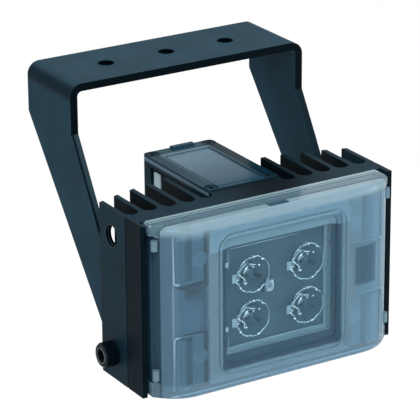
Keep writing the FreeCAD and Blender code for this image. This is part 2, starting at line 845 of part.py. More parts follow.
def make_light_sensor():
    """Clear sensor between the lamps, with a domed front."""
    z = z_middle + sensor_rise
    half_x = sensor_width / 2
    half_z = sensor_height / 2
    block = box(sensor_x - half_x, sensor_x + half_x, board_front - sensor_depth, board_front,
                z - half_z, z + half_z)
    return block.makeChamfer(sensor_depth / 3, edges_on_y(block, board_front - sensor_depth))


def make_led_leads():
    """Two insulated leads from the lamp board to the control board."""
    return both_sides(rod(lead_radius, Vector(lead_spacing / 2, pad_front, z_middle), Y_WAY,
                          control_board_y - pad_front))


def end_plate(z0, z1):
    """Flat plate over one end of the chamber."""
    plate = box(-chamber_half, chamber_half, lid_front + lid_edge_gap, chamber_rear, z0, z1)
    rear = [e for e in edges_along(plate, Z_WAY) if e.BoundBox.YMin > fin_apex]
    return plate.makeFillet(chamber_corner, rear)


def port_holes(radius, z0, z1):
    """Holes on the four screw ports."""
    return [rod(radius, Vector(x, y, z0), Z_WAY, z1 - z0) for x, y in port_places()]


def make_chamber_lid():
    """Smoked clear lid with sunk screw heads, a sight panel and a finger tab."""
    top = z_top + lid_proud
    low = top - lid_thickness
    lid = end_plate(low, top)
    sink = small_head_length + head_clearance / 2
    tools = port_holes(small_thread / 2, low, top)
    tools += port_holes(small_head / 2 + head_clearance, top - sink, top)
    panel_y = lid_front + port_inset
    half = lid_panel_width / 2
    panel = box(-half, half, panel_y, panel_y + lid_panel_depth, top - lid_panel_recess, top)
    tools.append(panel)
    tab_x = -lid_tab_width / 3
    tab = box(tab_x, tab_x + lid_tab_width, chamber_rear - lid_tab_depth, chamber_rear, low,
              top + lid_tab_rise)
    return join_all(cut_all(lid, tools), [tab])


def chamber_seal(z0, z1):
    """Flat seal with the outline of the chamber wall and its ports."""
    seal = end_plate(z0, z1).cut(chamber_room())
    return cut_all(seal, port_holes(small_thread / 2, z0, z1))


def make_bottom_cap():
    """Cap under the chamber, with sunk screw heads and the gland hole."""
    cap = end_plate(z_bottom, cap_inside)
    sink = small_head_length + head_clearance / 2
    tools = port_holes(small_thread / 2, z_bottom, cap_inside)
    tools += port_holes(small_head / 2 + head_clearance, z_bottom, z_bottom + sink)
    tools.append(rod(gland_thread / 2, Vector(0, gland_y, z_bottom), Z_WAY, lid_thickness))
    return cut_all(cap, tools)


def port_screws(seat, way):
    """Four small screws on the chamber ports, driven from outside."""
    shank = lid_thickness + lid_gasket + small_screw_reach - small_head_length - head_clearance
    screws = []
    for x, y in port_places():
        foot = Vector(x, y, seat)
        head = rod(small_head / 2, foot, way, small_head_length)
        stem = rod(small_thread / 2, foot - way * shank, way, shank)
        key = hexagon(small_thread * 2 / 3, foot + way * (small_head_length / 2), way, small_head_length)
        screws.append(join_all(head, [stem]).cut(key))
    return screws


def make_gland_body():
    """Gland body: thread through the cap, hexagon shoulder and outer stub."""
    shoulder = hexagon(gland_hex, Vector(0, gland_y, z_bottom - gland_shoulder), Z_WAY, gland_shoulder)
    inner_end = cap_inside + gland_locknut + gland_wall
    thread = rod(gland_thread / 2, Vector(0, gland_y, z_bottom), Z_WAY, inner_end - z_bottom)
    low = z_bottom - gland_shoulder - gland_stub
    stub = rod(gland_stub_radius, Vector(0, gland_y, low), Z_WAY, gland_stub)
    bore = rod(gland_thread / 2 - gland_wall * 2, Vector(0, gland_y, low), Z_WAY, inner_end - low)
    return join_all(shoulder, [thread, stub]).cut(bore)


def make_gland_locknut():
    """Flat nut that holds the gland from inside the chamber."""
    nut = hexagon(gland_hex, Vector(0, gland_y, cap_inside), Z_WAY, gland_locknut)
    return nut.cut(rod(gland_thread / 2, Vector(0, gland_y, cap_inside), Z_WAY, gland_locknut))


def make_gland_seal():
    """Rubber ring that grips the cord."""
    low = z_bottom - gland_shoulder - gland_nut_length + gland_nut_roof
    high = z_bottom - gland_shoulder - gland_nut_roof
    ring = rod(gland_thread / 2 - gland_wall * 2, Vector(0, gland_y, low), Z_WAY, high - low)
    return ring.cut(rod(cord_hole / 2, Vector(0, gland_y, low), Z_WAY, high - low))


def make_gland_nut():
    """Dome nut over the stub, with the cord's way out in its end."""
    low = z_bottom - gland_shoulder - gland_nut_length
    nut = hexagon(gland_hex - gland_nut_wall / 2, Vector(0, gland_y, low), Z_WAY, gland_nut_length)
    dome = cone(gland_thread / 2, gland_hex * 2 / 3, Vector(0, gland_y, low), Z_WAY, gland_nut_length)
    nut = nut.common(dome)
    nut = nut.cut(rod(gland_stub_radius, Vector(0, gland_y, low + gland_nut_roof), Z_WAY, gland_nut_length))
    return nut.cut(rod(cord_hole / 2, Vector(0, gland_y, low), Z_WAY, gland_nut_length))


def make_control_board():
    """Control board, slid into the grooves of the chamber from above."""
    half = cavity_half + groove_depth - control_board_play
    return box(-half, half, control_board_y, control_board_y + board_thickness, cap_inside, board_top_z)


def make_terminal_block():
    """Terminal block for the cord's wires, with a round mouth for each wire."""
    top = board_top_z - terminal_top
    half = terminal_width / 2
    front = control_board_y - terminal_depth
    block = box(-half, half, front, control_board_y, top - terminal_height, top)
    pitch = terminal_width / terminal_ways
    for k in range(terminal_ways):
        x = pitch * (k + 0.5) - half
        mouth = Vector(x, front, top - terminal_height * 2 / 3)
        block = block.cut(rod(terminal_screw_radius, mouth, Y_WAY, terminal_depth / 2))
        seat = Vector(x, front + terminal_depth / 2, top - terminal_screw_height * 2)
        block = block.cut(rod(terminal_screw_radius, seat, Z_WAY, terminal_screw_height * 2))
    return block


def make_terminal_screws():
    """Clamp screws of the terminal block."""
    top = board_top_z - terminal_top
    pitch = terminal_width / terminal_ways
    y = control_board_y - terminal_depth / 2
    screws = []
    for k in range(terminal_ways):
        x = pitch * (k + 0.5) - terminal_width / 2
        screw = rod(terminal_screw_radius, Vector(x, y, top - terminal_screw_height * 2), Z_WAY,
                    terminal_screw_height)
        slot = box(x - terminal_screw_radius, x + terminal_screw_radius, y - adjuster_slot / 2,
                   y + adjuster_slot / 2, top - terminal_screw_height * 3 / 2, top)
        screws.append(screw.cut(slot))
    return screws


def make_adjusters():
    """Two trimmers on the back of the control board."""
    y0 = control_board_y + board_thickness
    half = adjuster_side / 2
    low = board_top_z - adjuster_side
    return both_sides(box(adjuster_x - half, adjuster_x + half, y0, y0 + adjuster_depth, low, board_top_z))


def make_adjuster_rotors():
    """Slotted rotors on top of the trimmers."""
    y = control_board_y + board_thickness + adjuster_depth / 2
    rotor = rod(adjuster_rotor_radius, Vector(adjuster_x, y, board_top_z), Z_WAY, adjuster_rotor_height)
    slot = box(adjuster_x - adjuster_rotor_radius, adjuster_x + adjuster_rotor_radius,
               y - adjuster_slot / 2, y + adjuster_slot / 2, board_top_z + adjuster_rotor_height / 2,
               board_top_z + adjuster_rotor_height)
    return both_sides(rotor.cut(slot))


def make_capacitor():
    """Round capacitor standing off the front of the control board."""
    start = Vector(capacitor_x, control_board_y - capacitor_length, power_part_z)
    return rod(capacitor_radius, start, Y_WAY, capacitor_length)


def make_coil():
    """Driver coil: a waisted bobbin beside the capacitor."""
    start = Vector(coil_x, control_board_y - coil_length, power_part_z)
    body = rod(coil_radius, start, Y_WAY, coil_length)
    waist = rod(coil_radius, start + Y_WAY * (coil_length / 4), Y_WAY, coil_length / 2)
    core = rod(coil_radius * 0.8, start, Y_WAY, coil_length)
    return body.cut(waist.cut(core))


def make_breather_patch():
    """Pale vent patch on the left side panel of the chamber."""
    x = -chamber_half + side_panel_depth
    rear = chamber_rear - patch_back
    top = z_top - patch_drop
    patch = box(x - patch_thickness, x, rear - patch_width, rear, top - patch_height, top)
    return patch.makeFillet(patch_corner, edges_along(patch, X_WAY))


def all_pieces():
    """Every node of the part, by name."""
    top = z_top + lid_proud
    sunk = small_head_length + head_clearance / 2
    return {
        "bracket": make_bracket(),
        "pivot_screws": make_pivot_screws(),
        "pivot_bushes": make_pivot_bushes(),
        "heat_sink": make_heat_sink(),
        "front_cover": make_front_cover(),
        "cover_seal": seal_ring(),
        "cover_screws": make_cover_screws(),
        "side_pads": make_side_pads(),
        "window_frame": make_window_frame(),
        "heat_spreader": make_heat_spreader(),
        "thermal_pad": make_thermal_pad(),
        "led_board": make_led_board(),
        "board_screws": make_board_screws(),
        "led_emitters": make_led_emitters(),
        "led_lenses": make_led_lenses(),
        "light_sensor": make_light_sensor(),
        "led_leads": make_led_leads(),
        "chamber_lid": make_chamber_lid(),
        "lid_seal": chamber_seal(chamber_top, chamber_top + lid_gasket),
        "lid_screws": port_screws(top - sunk, Z_WAY),
        "bottom_cap": make_bottom_cap(),
        "bottom_seal": chamber_seal(cap_inside, chamber_bottom),
        "bottom_screws": port_screws(z_bottom + sunk, -Z_WAY),
        "gland_body": make_gland_body(),
        "gland_locknut": make_gland_locknut(),
        "gland_seal": make_gland_seal(),
        "gland_nut": make_gland_nut(),
        "control_board": make_control_board(),
        "terminal_block": make_terminal_block(),
        "terminal_screws": make_terminal_screws(),
        "adjusters": make_adjusters(),
        "adjuster_rotors": make_adjuster_rotors(),
        "capacitor": make_capacitor(),
        "driver_coil": make_coil(),
        "breather_patch": make_breather_patch(),
    }


def save_pieces():
    """Move the origin to the mounting face and write one file for each node."""
    os.makedirs("parts", exist_ok=True)
    to_mounting_face = Vector(0, -(plate_setback + plate_depth / 2), -plate_height)
    for name, piece in all_pieces().items():
        shape = Part.makeCompound(piece) if isinstance(piece, list) else piece
        shape.translate(to_mounting_face)
        shape.exportStep("parts/" + name + ".step")


save_pieces()
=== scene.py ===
import math

import bmesh
import bpy
from mathutils import Matrix, Vector


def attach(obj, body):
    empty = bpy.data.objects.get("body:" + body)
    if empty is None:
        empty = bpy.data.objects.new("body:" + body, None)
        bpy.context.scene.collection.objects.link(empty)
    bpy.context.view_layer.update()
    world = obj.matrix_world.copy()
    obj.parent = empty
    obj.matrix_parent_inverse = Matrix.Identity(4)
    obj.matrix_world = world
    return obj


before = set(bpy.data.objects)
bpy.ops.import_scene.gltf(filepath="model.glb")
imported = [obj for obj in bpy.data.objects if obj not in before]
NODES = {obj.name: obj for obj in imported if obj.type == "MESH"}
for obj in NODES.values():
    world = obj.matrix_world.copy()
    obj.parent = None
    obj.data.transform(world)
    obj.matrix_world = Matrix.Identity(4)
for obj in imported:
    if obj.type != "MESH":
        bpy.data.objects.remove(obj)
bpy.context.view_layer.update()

MM = 0.001

# Camera, in the part's own frame
CAMERA_TURN = math.radians(-31.3313)
CAMERA_RISE = math.radians(21.0546)
CAMERA_ROLL = math.radians(-0.384)
CAMERA_PLACE = Vector((-0.44200, -0.75493, 0.27696))
CAMERA_LENS = 223.65
CAMERA_SENSOR = 36.0
CAMERA_CLIP = 0.01

# Studio: each light has its name, place, aim, size and power
LIGHTS = (
    ("key", (-0.35, -0.75, 0.75), (0, -0.05, -0.05), (0.7, 0.5), 9.0),
    ("right", (0.8, -0.5, 0.25), (0, -0.05, -0.05), (0.5, 0.7), 5.0),
    ("rear", (-0.3, 0.6, 0.7), (0, -0.03, -0.04), (0.6, 0.4), 5.0),
)
FILL_COLOUR = (0.95, 0.98, 1.0)
FILL_STRENGTH = 0.55
FLOOR_Z = -0.30
FLOOR_HALF = 3.0
FLOOR_GREY = 0.90
FLOOR_GLOW = 1.02
FLOOR_GLOW_SHARE = 0.93

# Masks, in metres: a level past the whole part, and the widths of the slopes at their edges
FAR = 0.2
KNIFE = 0.00003
SHARP = 0.0001
CRISP = 0.0002
SLOPE = 0.0003

# Places on the cover, in the part's own frame
WINDOW_HALF = 0.0237
WINDOW_Z = -0.06435
COVER_INSIDE_Y = -0.07425
ROOM_HALF_X = 0.0418
ROOM_HALF_Z = 0.0275
RIB_DEPTH = 0.0006
SIDE_X = 0.0412
SIDE_SLOPE = 0.0015
ZONE_X = 0.0300
ZONE_HALF_Z = 0.0255
ZONE_SLOPE = 0.0008
SHADE_IN_X = 0.0296
SHADE_OUT_X = 0.0378
SHADE_LOW_Z = -0.0686
SHADE_HIGH_Z = -0.0550
SHADE_SLOPE = 0.0006
JOINT_Y = -0.07075
RIM_Y = -0.06635
GROOVE_HALF = 0.0002
RIM_GROOVE_FRONT = 0.0003
STREAK_NEAR = 0.0012
STREAK_FAR = 0.0017
TOP_BAND_Z = -0.0356
CROWN_SLOPE = 0.0016
FOOT_Z = -0.0925
FOOT_SLOPE = 0.003
RECESS_X = 0.0445
RECESS_HALF_Z = 0.0252
NOTCH_HALF = 0.0039
NOTCH_DEPTH = 0.0030
NOTCH_DROP = 0.0010
FLANK_X = 0.0459

# Places on the window frame
FRAME_FRONT_Y = -0.0726
FRAME_TOP_Z = -0.0450
FRAME_TOP_SLOPE = 0.0005

# Places on the lid
LID_HALF_X = 0.0138
LID_FRONT = -0.0507
LID_BACK = -0.0070
LID_BAND_LOW = -0.0352
LID_BAND_HIGH = -0.0341
TAB_TOP_Z = -0.0326
PANEL_HALF_X = 0.0090
PANEL_FRONT = -0.0482
PANEL_BACK = -0.0128
PANEL_SIDE_SLOPE = 0.0016
PANEL_END_SLOPE = 0.0022
SHADOW_INSET = 0.0010
SHADOW_SLOPE = 0.0012

# Places on the heat sink
CHAMBER_X = 0.0150
SLOT_X = 0.0475
SLOT_INSET = 0.0004
HEAD_TOP_Z = -0.0336
HEAD_FOOT_Z = -0.0951
# Band of painted shade along the middle of the head's top, and the width of its slopes
TOP_SHADE_X = (0.0020, 0.0120)
TOP_SHADE_SLOPE = 0.022
LIP_FRONT_Y = -0.0669
WALL_X = 0.0492
GROOVE_Y = -0.0573
SPARE_OUT_X = 0.04995
SPARE_IN_X = 0.0476
SPARE_Y = -0.04765
SPARE_Z = -0.0431
SPARE_REACH = 0.0041

# Places on the bracket
BEND_X = -0.0458
BEND_Z = -0.0045
BEND_SIDE_SLOPE = 0.0018
BEND_SLOPE = 0.0022
EDGE_Y = -0.01545
EDGE_FOOT_Z = -0.0178
EDGE_IN_X = 0.0443
EDGE_OUT_X = 0.0467
EDGE_LINE_X = -0.0460
HOLES_END = 0.0300
HOLE_REACH = 0.0032
HOLE_TOP_Z = -0.0001
HOLE_FOOT_Z = -0.0026

# The tilt axis in the part's own frame. From here to the finish, lengths are in millimetres and places are about it
PIVOT = Vector((0.0, -0.04765, -0.0856))
PLATE_MIDDLE = 47.65
AWAY = Vector((0, 1, 0))
UP = Vector((0, 0, 1))

# How finely rings, tubes, balls and the rounded edges of blocks are divided, and how full those edges are
RING_STEPS = 40
TUBE_SIDES = 8
BALL_DIVISIONS = 2
BEVEL_SEGMENTS = 2
BEVEL_PROFILE = 0.7

# Lenses, with a bright rim line and glint beads, dots and lines that are painted highlights made as geometry. Beads
# have a turn and a radius, dots a place and a radius, and lines such a place and radius at each point
LENS_PLACES = ((-10.857, 13.255), (10.857, 13.255), (-10.857, 29.245), (10.857, 29.245))
LENS_RADIUS = 6.59
LENS_FRONT = -26.1
DISH_RADIUS = 4.61
DISH_DEPTH = 0.81
SCALLOPS = 7
SCALLOP_RADIUS = 1.3
SCALLOP_BITE = 0.35
RIM_STEPS = 180
RIM_INSET = 0.15
BEAD_INSET = 0.2
RIM_THIN = 0.18
RIM_WAVE = 0.03
RIM_WAVES = 9
RIM_HEAVY = math.radians(190)
THICK_MORE = 0.13
THICK_FROM = math.radians(240)
THICK_MIDDLE = math.radians(315)
THICK_NARROW = 1.3
RIM_GLINT_BEADS = ((88, 0.48), (54, 0.48), (218, 0.48), (288, 0.48), (232, 0.32), (128, 0.30), (186, 0.42))
INNER_GLINT_LINE = range(112, 200, 4)
INNER_REACH = 0.84
INNER_WAVE = 0.02
INNER_WAVES = 5
INNER_THIN = 0.06
INNER_MORE = 0.09
DISH_GLINT_DOTS = (
    (0.1, 2.6, 0.36), (2.3, 2.9, 0.42), (0.2, -1.1, 0.16), (-1.0, 3.6, 0.22), (-2.6, 4.2, 0.2),
    (-3.9, -0.45, 0.30), (-3.2, -1.3, 0.26), (-3.5, -2.0, 0.26), (-2.7, -2.6, 0.40),
)
DISH_GLINT_LINES = (
    ((-3.7, 0.7, 0.08), (-3.6, 1.5, 0.34), (-3.2, 2.2, 0.46), (-2.6, 2.9, 0.36), (-1.9, 3.5, 0.10)),
    ((-2.7, 0.8, 0.05), (-2.5, 1.5, 0.12), (-2.0, 2.1, 0.12), (-1.2, 2.5, 0.05)),
    ((-6.0, 1.3, 0.14), (-5.2, 0.6, 0.22), (-4.6, 0.1, 0.14), (-4.2, -0.4, 0.34), (-3.6, -0.8, 0.14),
     (-3.3, -1.6, 0.32), (-3.7, -2.2, 0.14), (-3.2, -2.8, 0.36), (-2.8, -3.1, 0.12)),
    ((-2.0, 4.4, 0.06), (-1.2, 4.0, 0.16), (-0.4, 3.7, 0.10), (0.5, 3.4, 0.16), (1.4, 3.3, 0.06)),
)
TAB_CAP = ((-8.4, -0.15, -1.5), (-6.8, 0.05, 1.5))
TAB_BAR = ((-8.2, -0.25, -0.9), (-7.0, -0.1, -0.6))
TAB_BLOCKS = ((TAB_CAP, 0.0), (TAB_BAR, 0.0), (TAB_BAR, 0.7), (TAB_BAR, 1.4))
FINE_BEVEL = 0.05

# Light sensor: half width, half height, depth and turn of each ring of its facets
SENSOR_MIDDLE = (-3.0, 22.7)
SENSOR_RINGS = ((1.6, 2.1, -23.95, 22.5), (1.3, 1.7, -24.45, 45.0), (0.5, 0.7, -24.6, 60.0))
SENSOR_SIDES = 8
SENSOR_SQUARENESS = 0.6
SENSOR_EDGE_SIDES = 6
SENSOR_RING_EDGE = 0.13
SENSOR_CROSS_EDGE = 0.11

# Window frame: both ends and the radius of each painted highlight bead, and the corners and heights of the tabs on
# its left bar
FRAME_HIGHLIGHT_BEADS = (
    ((-20.4, -26.15, 40.35), (7.0, -26.15, 40.35), 0.15),
    ((-19.4, -22.95, 3.1), (19.6, -22.95, 3.1), 0.26),
    ((19.65, -22.95, 4.0), (19.65, -22.95, 39.2), 0.16),
    ((-20.7, -26.15, 3.0), (-20.7, -26.15, 9.0), 0.12),
    ((-20.7, -26.15, 33.0), (-20.7, -26.15, 39.8), 0.12),
)
BEAD_STEPS = 12
BEAD_END = 0.35
FRAME_TAB = ((-21.9, -26.25, -0.8), (-20.8, -26.0, 0.8))
FRAME_TAB_HEIGHTS = (11.6, 34.8)
FRAME_TAB_BEVEL = 0.1

# Cover: outer and inner height of each corner pocket, and its weld line and screw boss
POCKETS = ((-4.2, 12.9), (48.6, 32.0))
WELD_Y = -26.7
WELD_OUT_X, WELD_TURN_X, WELD_KNEE_X, WELD_END_X = 41.9, 40.7, 36.0, 30.6
WELD_CORNER = 1.2
WELD_CORNER_STEPS = 4
WELD_DROP = 0.25
WELD_LEFT, WELD_RIGHT = 0.42, 0.25
WELD_START, WELD_STOP = 0.12, 0.20
BOSS_X = 31.0
BOSS_HEIGHTS = (3.75, 38.75)
BOSS_Y = -23.9
BOSS_RADIUS = 2.85
BOSS_STEPS = 32
BOSS_THICK = 0.15

# Pivot screws and spare holes: place along the axis, radius and thickness of each ring. The rings at the sockets and
# at the spare holes are painted highlights
KNURL_RINGS = ((50.7, 0.0), (50.9, 0.14), (54.2, 0.14), (54.4, 0.0))
KNURL_RADIUS = 4.24
KNURL_STEPS = 96
KNURL_VALLEY = 0.1
SOCKET_HIGHLIGHTS = ((55.0, 2.72, 0.085), (54.94, 3.82, 0.035))
SPARE_HIGHLIGHTS = ((49.98, 3.99, 0.07), (49.28, 3.31, 0.06))
SPARE_HEIGHT = 42.5

# Lid: places of its screws, height and radius of the two rings at each, and the bead round its sight panel
LID_SCREWS_X = (-11.5, 11.5)
LID_SCREWS_Y = (-0.9, 38.4)
LID_RINGS = ((52.3, 2.52), (52.05, 1.75))
LID_RING_THICK = 0.10
PANEL_CORNERS = ((-9.2, -0.9), (9.2, -0.9), (9.2, 34.1), (-9.2, 34.1))
PANEL_CORNER = 1.0
PANEL_CORNER_STEPS = 6
PANEL_MIDDLE_Y = 10
PANEL_BEAD = 0.13
PANEL_BEAD_Z = 52.28

# Control board: middles and corners of its chips and small resistors, and how far their legs and end caps reach
CHIPS = ((5.0, 24.0), (-5.5, 20.0))
CHIP_BOX = ((-2.0, 27.9, -2.5), (2.0, 29.3, 2.5))
CHIP_BEVEL = 0.15
LEG_REACHES = (1.9, 3.0)
LEG_Y = 29.0
LEG_FOOT, LEG_STEP, LEG_WIDTH, LEGS = 2.1, 1.27, 0.4, 4
LEG_BEVEL = 0.06
RESISTORS = ((-9.5, 27.0), (-9.5, 24.5), (10.0, 18.0), (10.0, 29.0), (0.0, 17.0), (0.0, 26.5))
RESISTOR_BOX = ((-0.9, 28.8, -0.55), (0.9, 29.4, 0.55))
RESISTOR_BEVEL = 0.08
END_REACHES = (0.75, 1.05)
END_Y, END_HALF_Z = 28.75, 0.6
BOARD_Y = 29.4

# Bracket: fixing holes, and the beads of paint round them
FIXING_HOLES_X = (-24.25, 0.0, 24.25)
FIXING_BEADS_Z = (85.58, 82.87)
FIXING_BEAD_RADIUS = 3.02
FIXING_BEAD = 0.12

# Finishes: tints of the shine and a dull shine, softened edges, and grain drawn out along Z
COOL = (0.45, 0.78, 1.0)
NEUTRAL = (1, 1, 1)
DULL = 0.04
EDGE_MM = 0.2
EDGE_SAMPLES = 6
BRUSHED = (1, 1, 0.04)

# Middle of a noise, and a grainy finish: size of its patches, what grain and patches add to its tone, and its bumps
NOISE_MIDDLE = (0.3, 0.7)
PATCH_MM = 14.0
GRAIN_SHARE = 0.5
PATCH_SHARES = (-0.05, 0.45)
GRAIN_BUMP = 0.35

# Clear plastic: grain, its darkest share of the colour, spread of the roughness, and strength and depth of its bumps
CLEAR_MM = 2.0
CLEAR_DARK = 0.94
CLEAR_SPREAD = 0.02
CLEAR_BUMP = (0.2, 0.01)

# Cover: grain and patches, how solid its plain plastic is, and roughness of the frosted and of the clear plastic
COVER_MM = 0.5
COVER_PATCH_MM = 18.0
COVER_SOLID = 0.20
COVER_ROUGH = (0.14, 0.01)
COVER_IOR = 1.35
COVER_BUMP = (0.12, 0.02)

# Lid: grain and patches, and how solid its border and its panel are, and its edge
LID_MM = 0.6
LID_PATCH_MM = 9.0
LID_PATCH_DETAIL = 3.0
LID_SOLID = (0.60, 0.85)
LID_EDGE_SOLID = 0.80
LID_ROUGH = (0.10, 0.20)
LID_IOR = 1.1

# Window frame: grain and patches, roughness, shine and bumps
FRAME_MM = 0.5
FRAME_PATCH_MM = 12.0
FRAME_ROUGH = (0.4, 0.55)
FRAME_SHINE = 0.3
FRAME_BUMP = (0.3, 0.02)


def tone(red, green, blue):
    """Linear colour of a tone written from 0 to 255."""
    return tuple(((c / 255 + 0.055) / 1.055) ** 2.4 if c > 10 else c / 255 / 12.92 for c in (red, green, blue))


def link(obj):
    """Puts an object into the scene."""
    bpy.context.scene.collection.objects.link(obj)
    return obj


def new_material(name):
    """Material with a bare node tree: returns it with its tree, shader and object coordinates."""
    mat = bpy.data.materials.new(name)
    mat.use_nodes = True
    tree = mat.node_tree
    tree.nodes.clear()
    out = tree.nodes.new("ShaderNodeOutputMaterial")
    shader = tree.nodes.new("ShaderNodeBsdfPrincipled")
    tree.links.new(shader.outputs[0], out.inputs[0])
    coords = tree.nodes.new("ShaderNodeTexCoord")
    return mat, tree, shader, coords.outputs["Object"]


def noise(tree, coords, size_mm, detail=2.0, rough=0.55, stretch=(1, 1, 1)):
    """Noise whose grains are about size_mm across."""
    place = tree.nodes.new("ShaderNodeMapping")
    place.inputs["Scale"].default_value = [s / (size_mm * MM) for s in stretch]
    tree.links.new(coords, place.inputs["Vector"])
    tex = tree.nodes.new("ShaderNodeTexNoise")
    tex.inputs["Scale"].default_value = 1.0
    tex.inputs["Detail"].default_value = detail
    tex.inputs["Roughness"].default_value = rough
    tree.links.new(place.outputs[0], tex.inputs["Vector"])
    return tex.outputs["Fac"]


def ramp(tree, value, low, high, out_low, out_high):
    """Maps a value between two levels onto a range of numbers."""
    node = tree.nodes.new("ShaderNodeMapRange")
    node.inputs["From Min"].default_value = low
    node.inputs["From Max"].default_value = high
    node.inputs["To Min"].default_value = out_low
    node.inputs["To Max"].default_value = out_high
    tree.links.new(value, node.inputs["Value"])
    return node.outputs["Result"]


def spread_noise(tree, value, out_low, out_high):
    """Maps the middle of a noise onto a range of numbers."""
    return ramp(tree, value, *NOISE_MIDDLE, out_low, out_high)


def invert(tree, mask):
    """1 where a mask is 0, and 0 where it is 1."""
    return ramp(tree, mask, 0.0, 1.0, 1.0, 0.0)


def calculate(tree, operation, first, second):
    """Result of one sum with two values."""
    node = tree.nodes.new("ShaderNodeMath")
    node.operation = operation
    tree.links.new(first, node.inputs[0])
    tree.links.new(second, node.inputs[1])
    return node.outputs[0]


def all_of(tree, mask, *others):
    """1 only where every mask is 1."""
    for other in others:
        mask = calculate(tree, "MULTIPLY", mask, other)
    return mask


def between(tree, value, low, high, soft=SLOPE):
    """1 between two levels, 0 outside them, with a short slope at each."""
    return all_of(tree, ramp(tree, value, low - soft, low, 0.0, 1.0),
                  ramp(tree, value, high, high + soft, 1.0, 0.0))


def outside(tree, value, low, high, soft=SLOPE):
    """0 between two levels, 1 outside them, with a short slope at each."""
    return invert(tree, between(tree, value, low, high, soft))


def axes(tree, coords):
    """X, Y and Z of a place, each on its own."""
    split = tree.nodes.new("ShaderNodeSeparateXYZ")
    tree.links.new(coords, split.inputs[0])
    return tuple(split.outputs[axis] for axis in "XYZ")


def blend_colour(tree, value, dark, light):
    """Colour that runs between two others as a value goes from 0 to 1; either may be a socket."""
    node = tree.nodes.new("ShaderNodeMix")
    node.data_type = "RGBA"
    tree.links.new(value, node.inputs["Factor"])
    for socket, colour in ((node.inputs["A"], dark), (node.inputs["B"], light)):
        if isinstance(colour, tuple):
            socket.default_value = (*colour, 1)
        else:
            tree.links.new(colour, socket)
    return node.outputs["Result"]


def blend_value(tree, mask, below, above):
    """One number below a mask and another above it; the first may be a socket."""
    node = tree.nodes.new("ShaderNodeMix")
    tree.links.new(mask, node.inputs["Factor"])
    if isinstance(below, float):
        node.inputs["A"].default_value = below
    else:
        tree.links.new(below, node.inputs["A"])
    node.inputs["B"].default_value = above
    return node.outputs["Result"]


def bump(tree, height, strength, depth_mm, normal=None):
    """Normal that follows a height, on top of another normal if one is given."""
    node = tree.nodes.new("ShaderNodeBump")
    node.inputs["Strength"].default_value = strength
    node.inputs["Distance"].default_value = depth_mm * MM
    tree.links.new(height, node.inputs["Height"])
    if normal is not None:
        tree.links.new(normal, node.inputs["Normal"])
    return node.outputs["Normal"]


def soft_edges(tree):
    """Normal that rounds sharp edges a little."""
    node = tree.nodes.new("ShaderNodeBevel")
    node.samples = EDGE_SAMPLES
    node.inputs["Radius"].default_value = EDGE_MM * MM
    return node.outputs["Normal"]


def grainy(name, dark, light, rough, grain_mm, depth_mm, metal=0.0, spread=0.08, stretch=(1, 1, 1),
           specular=0.5, tint=NEUTRAL):
    """Opaque finish: fine grain, slow change of tone, and softened edges."""
    mat, tree, shader, coords = new_material(name)
    fine = noise(tree, coords, grain_mm, rough=0.6, stretch=stretch)
    slow = noise(tree, coords, PATCH_MM, rough=0.5)
    blend = tree.nodes.new("ShaderNodeMath")
    blend.operation = "MULTIPLY_ADD"
    tree.links.new(fine, blend.inputs[0])
    blend.inputs[1].default_value = GRAIN_SHARE
    tree.links.new(spread_noise(tree, slow, *PATCH_SHARES), blend.inputs[2])
    tree.links.new(blend_colour(tree, blend.outputs[0], dark, light), shader.inputs["Base Color"])
    tree.links.new(spread_noise(tree, fine, rough - spread, rough + spread), shader.inputs["Roughness"])
    shader.inputs["Metallic"].default_value = metal
    shader.inputs["Specular IOR Level"].default_value = specular
    shader.inputs["Specular Tint"].default_value = (*tint, 1)
    tree.links.new(bump(tree, fine, GRAIN_BUMP, depth_mm, soft_edges(tree)), shader.inputs["Normal"])
    return mat


def clear_plastic(name, colour, rough, clear=1.0, ior=1.49):
    """Clear or tinted plastic that lets light through."""
    mat, tree, shader, coords = new_material(name)
    fine = noise(tree, coords, CLEAR_MM)
    low = tuple(c * CLEAR_DARK for c in colour)
    tree.links.new(blend_colour(tree, fine, low, colour), shader.inputs["Base Color"])
    tree.links.new(spread_noise(tree, fine, max(rough - CLEAR_SPREAD, 0.0), rough + CLEAR_SPREAD),
                   shader.inputs["Roughness"])
    shader.inputs["Transmission Weight"].default_value = clear
    shader.inputs["IOR"].default_value = ior
    shader.inputs["Specular Tint"].default_value = (*COOL, 1)
    tree.links.new(bump(tree, fine, *CLEAR_BUMP), shader.inputs["Normal"])
    return mat


def window_mask(tree, coords):
    """1 inside the clear window of the cover, 0 on the frosted rest."""
    x, y, z = axes(tree, coords)
    return all_of(tree, between(tree, x, -WINDOW_HALF, WINDOW_HALF),
                  between(tree, z, WINDOW_Z - WINDOW_HALF, WINDOW_Z + WINDOW_HALF),
                  ramp(tree, y, COVER_INSIDE_Y + CRISP, COVER_INSIDE_Y, 0.0, 1.0))


def rib_mask(tree, coords):
    """1 on the pockets, ribs and bosses inside the cover, 0 on its shell."""
    x, y, z = axes(tree, coords)
    return all_of(tree, between(tree, x, -ROOM_HALF_X, ROOM_HALF_X),
                  between(tree, z, WINDOW_Z - ROOM_HALF_Z, WINDOW_Z + ROOM_HALF_Z),
                  ramp(tree, y, COVER_INSIDE_Y + CRISP, COVER_INSIDE_Y + RIB_DEPTH, 0.0, 1.0))


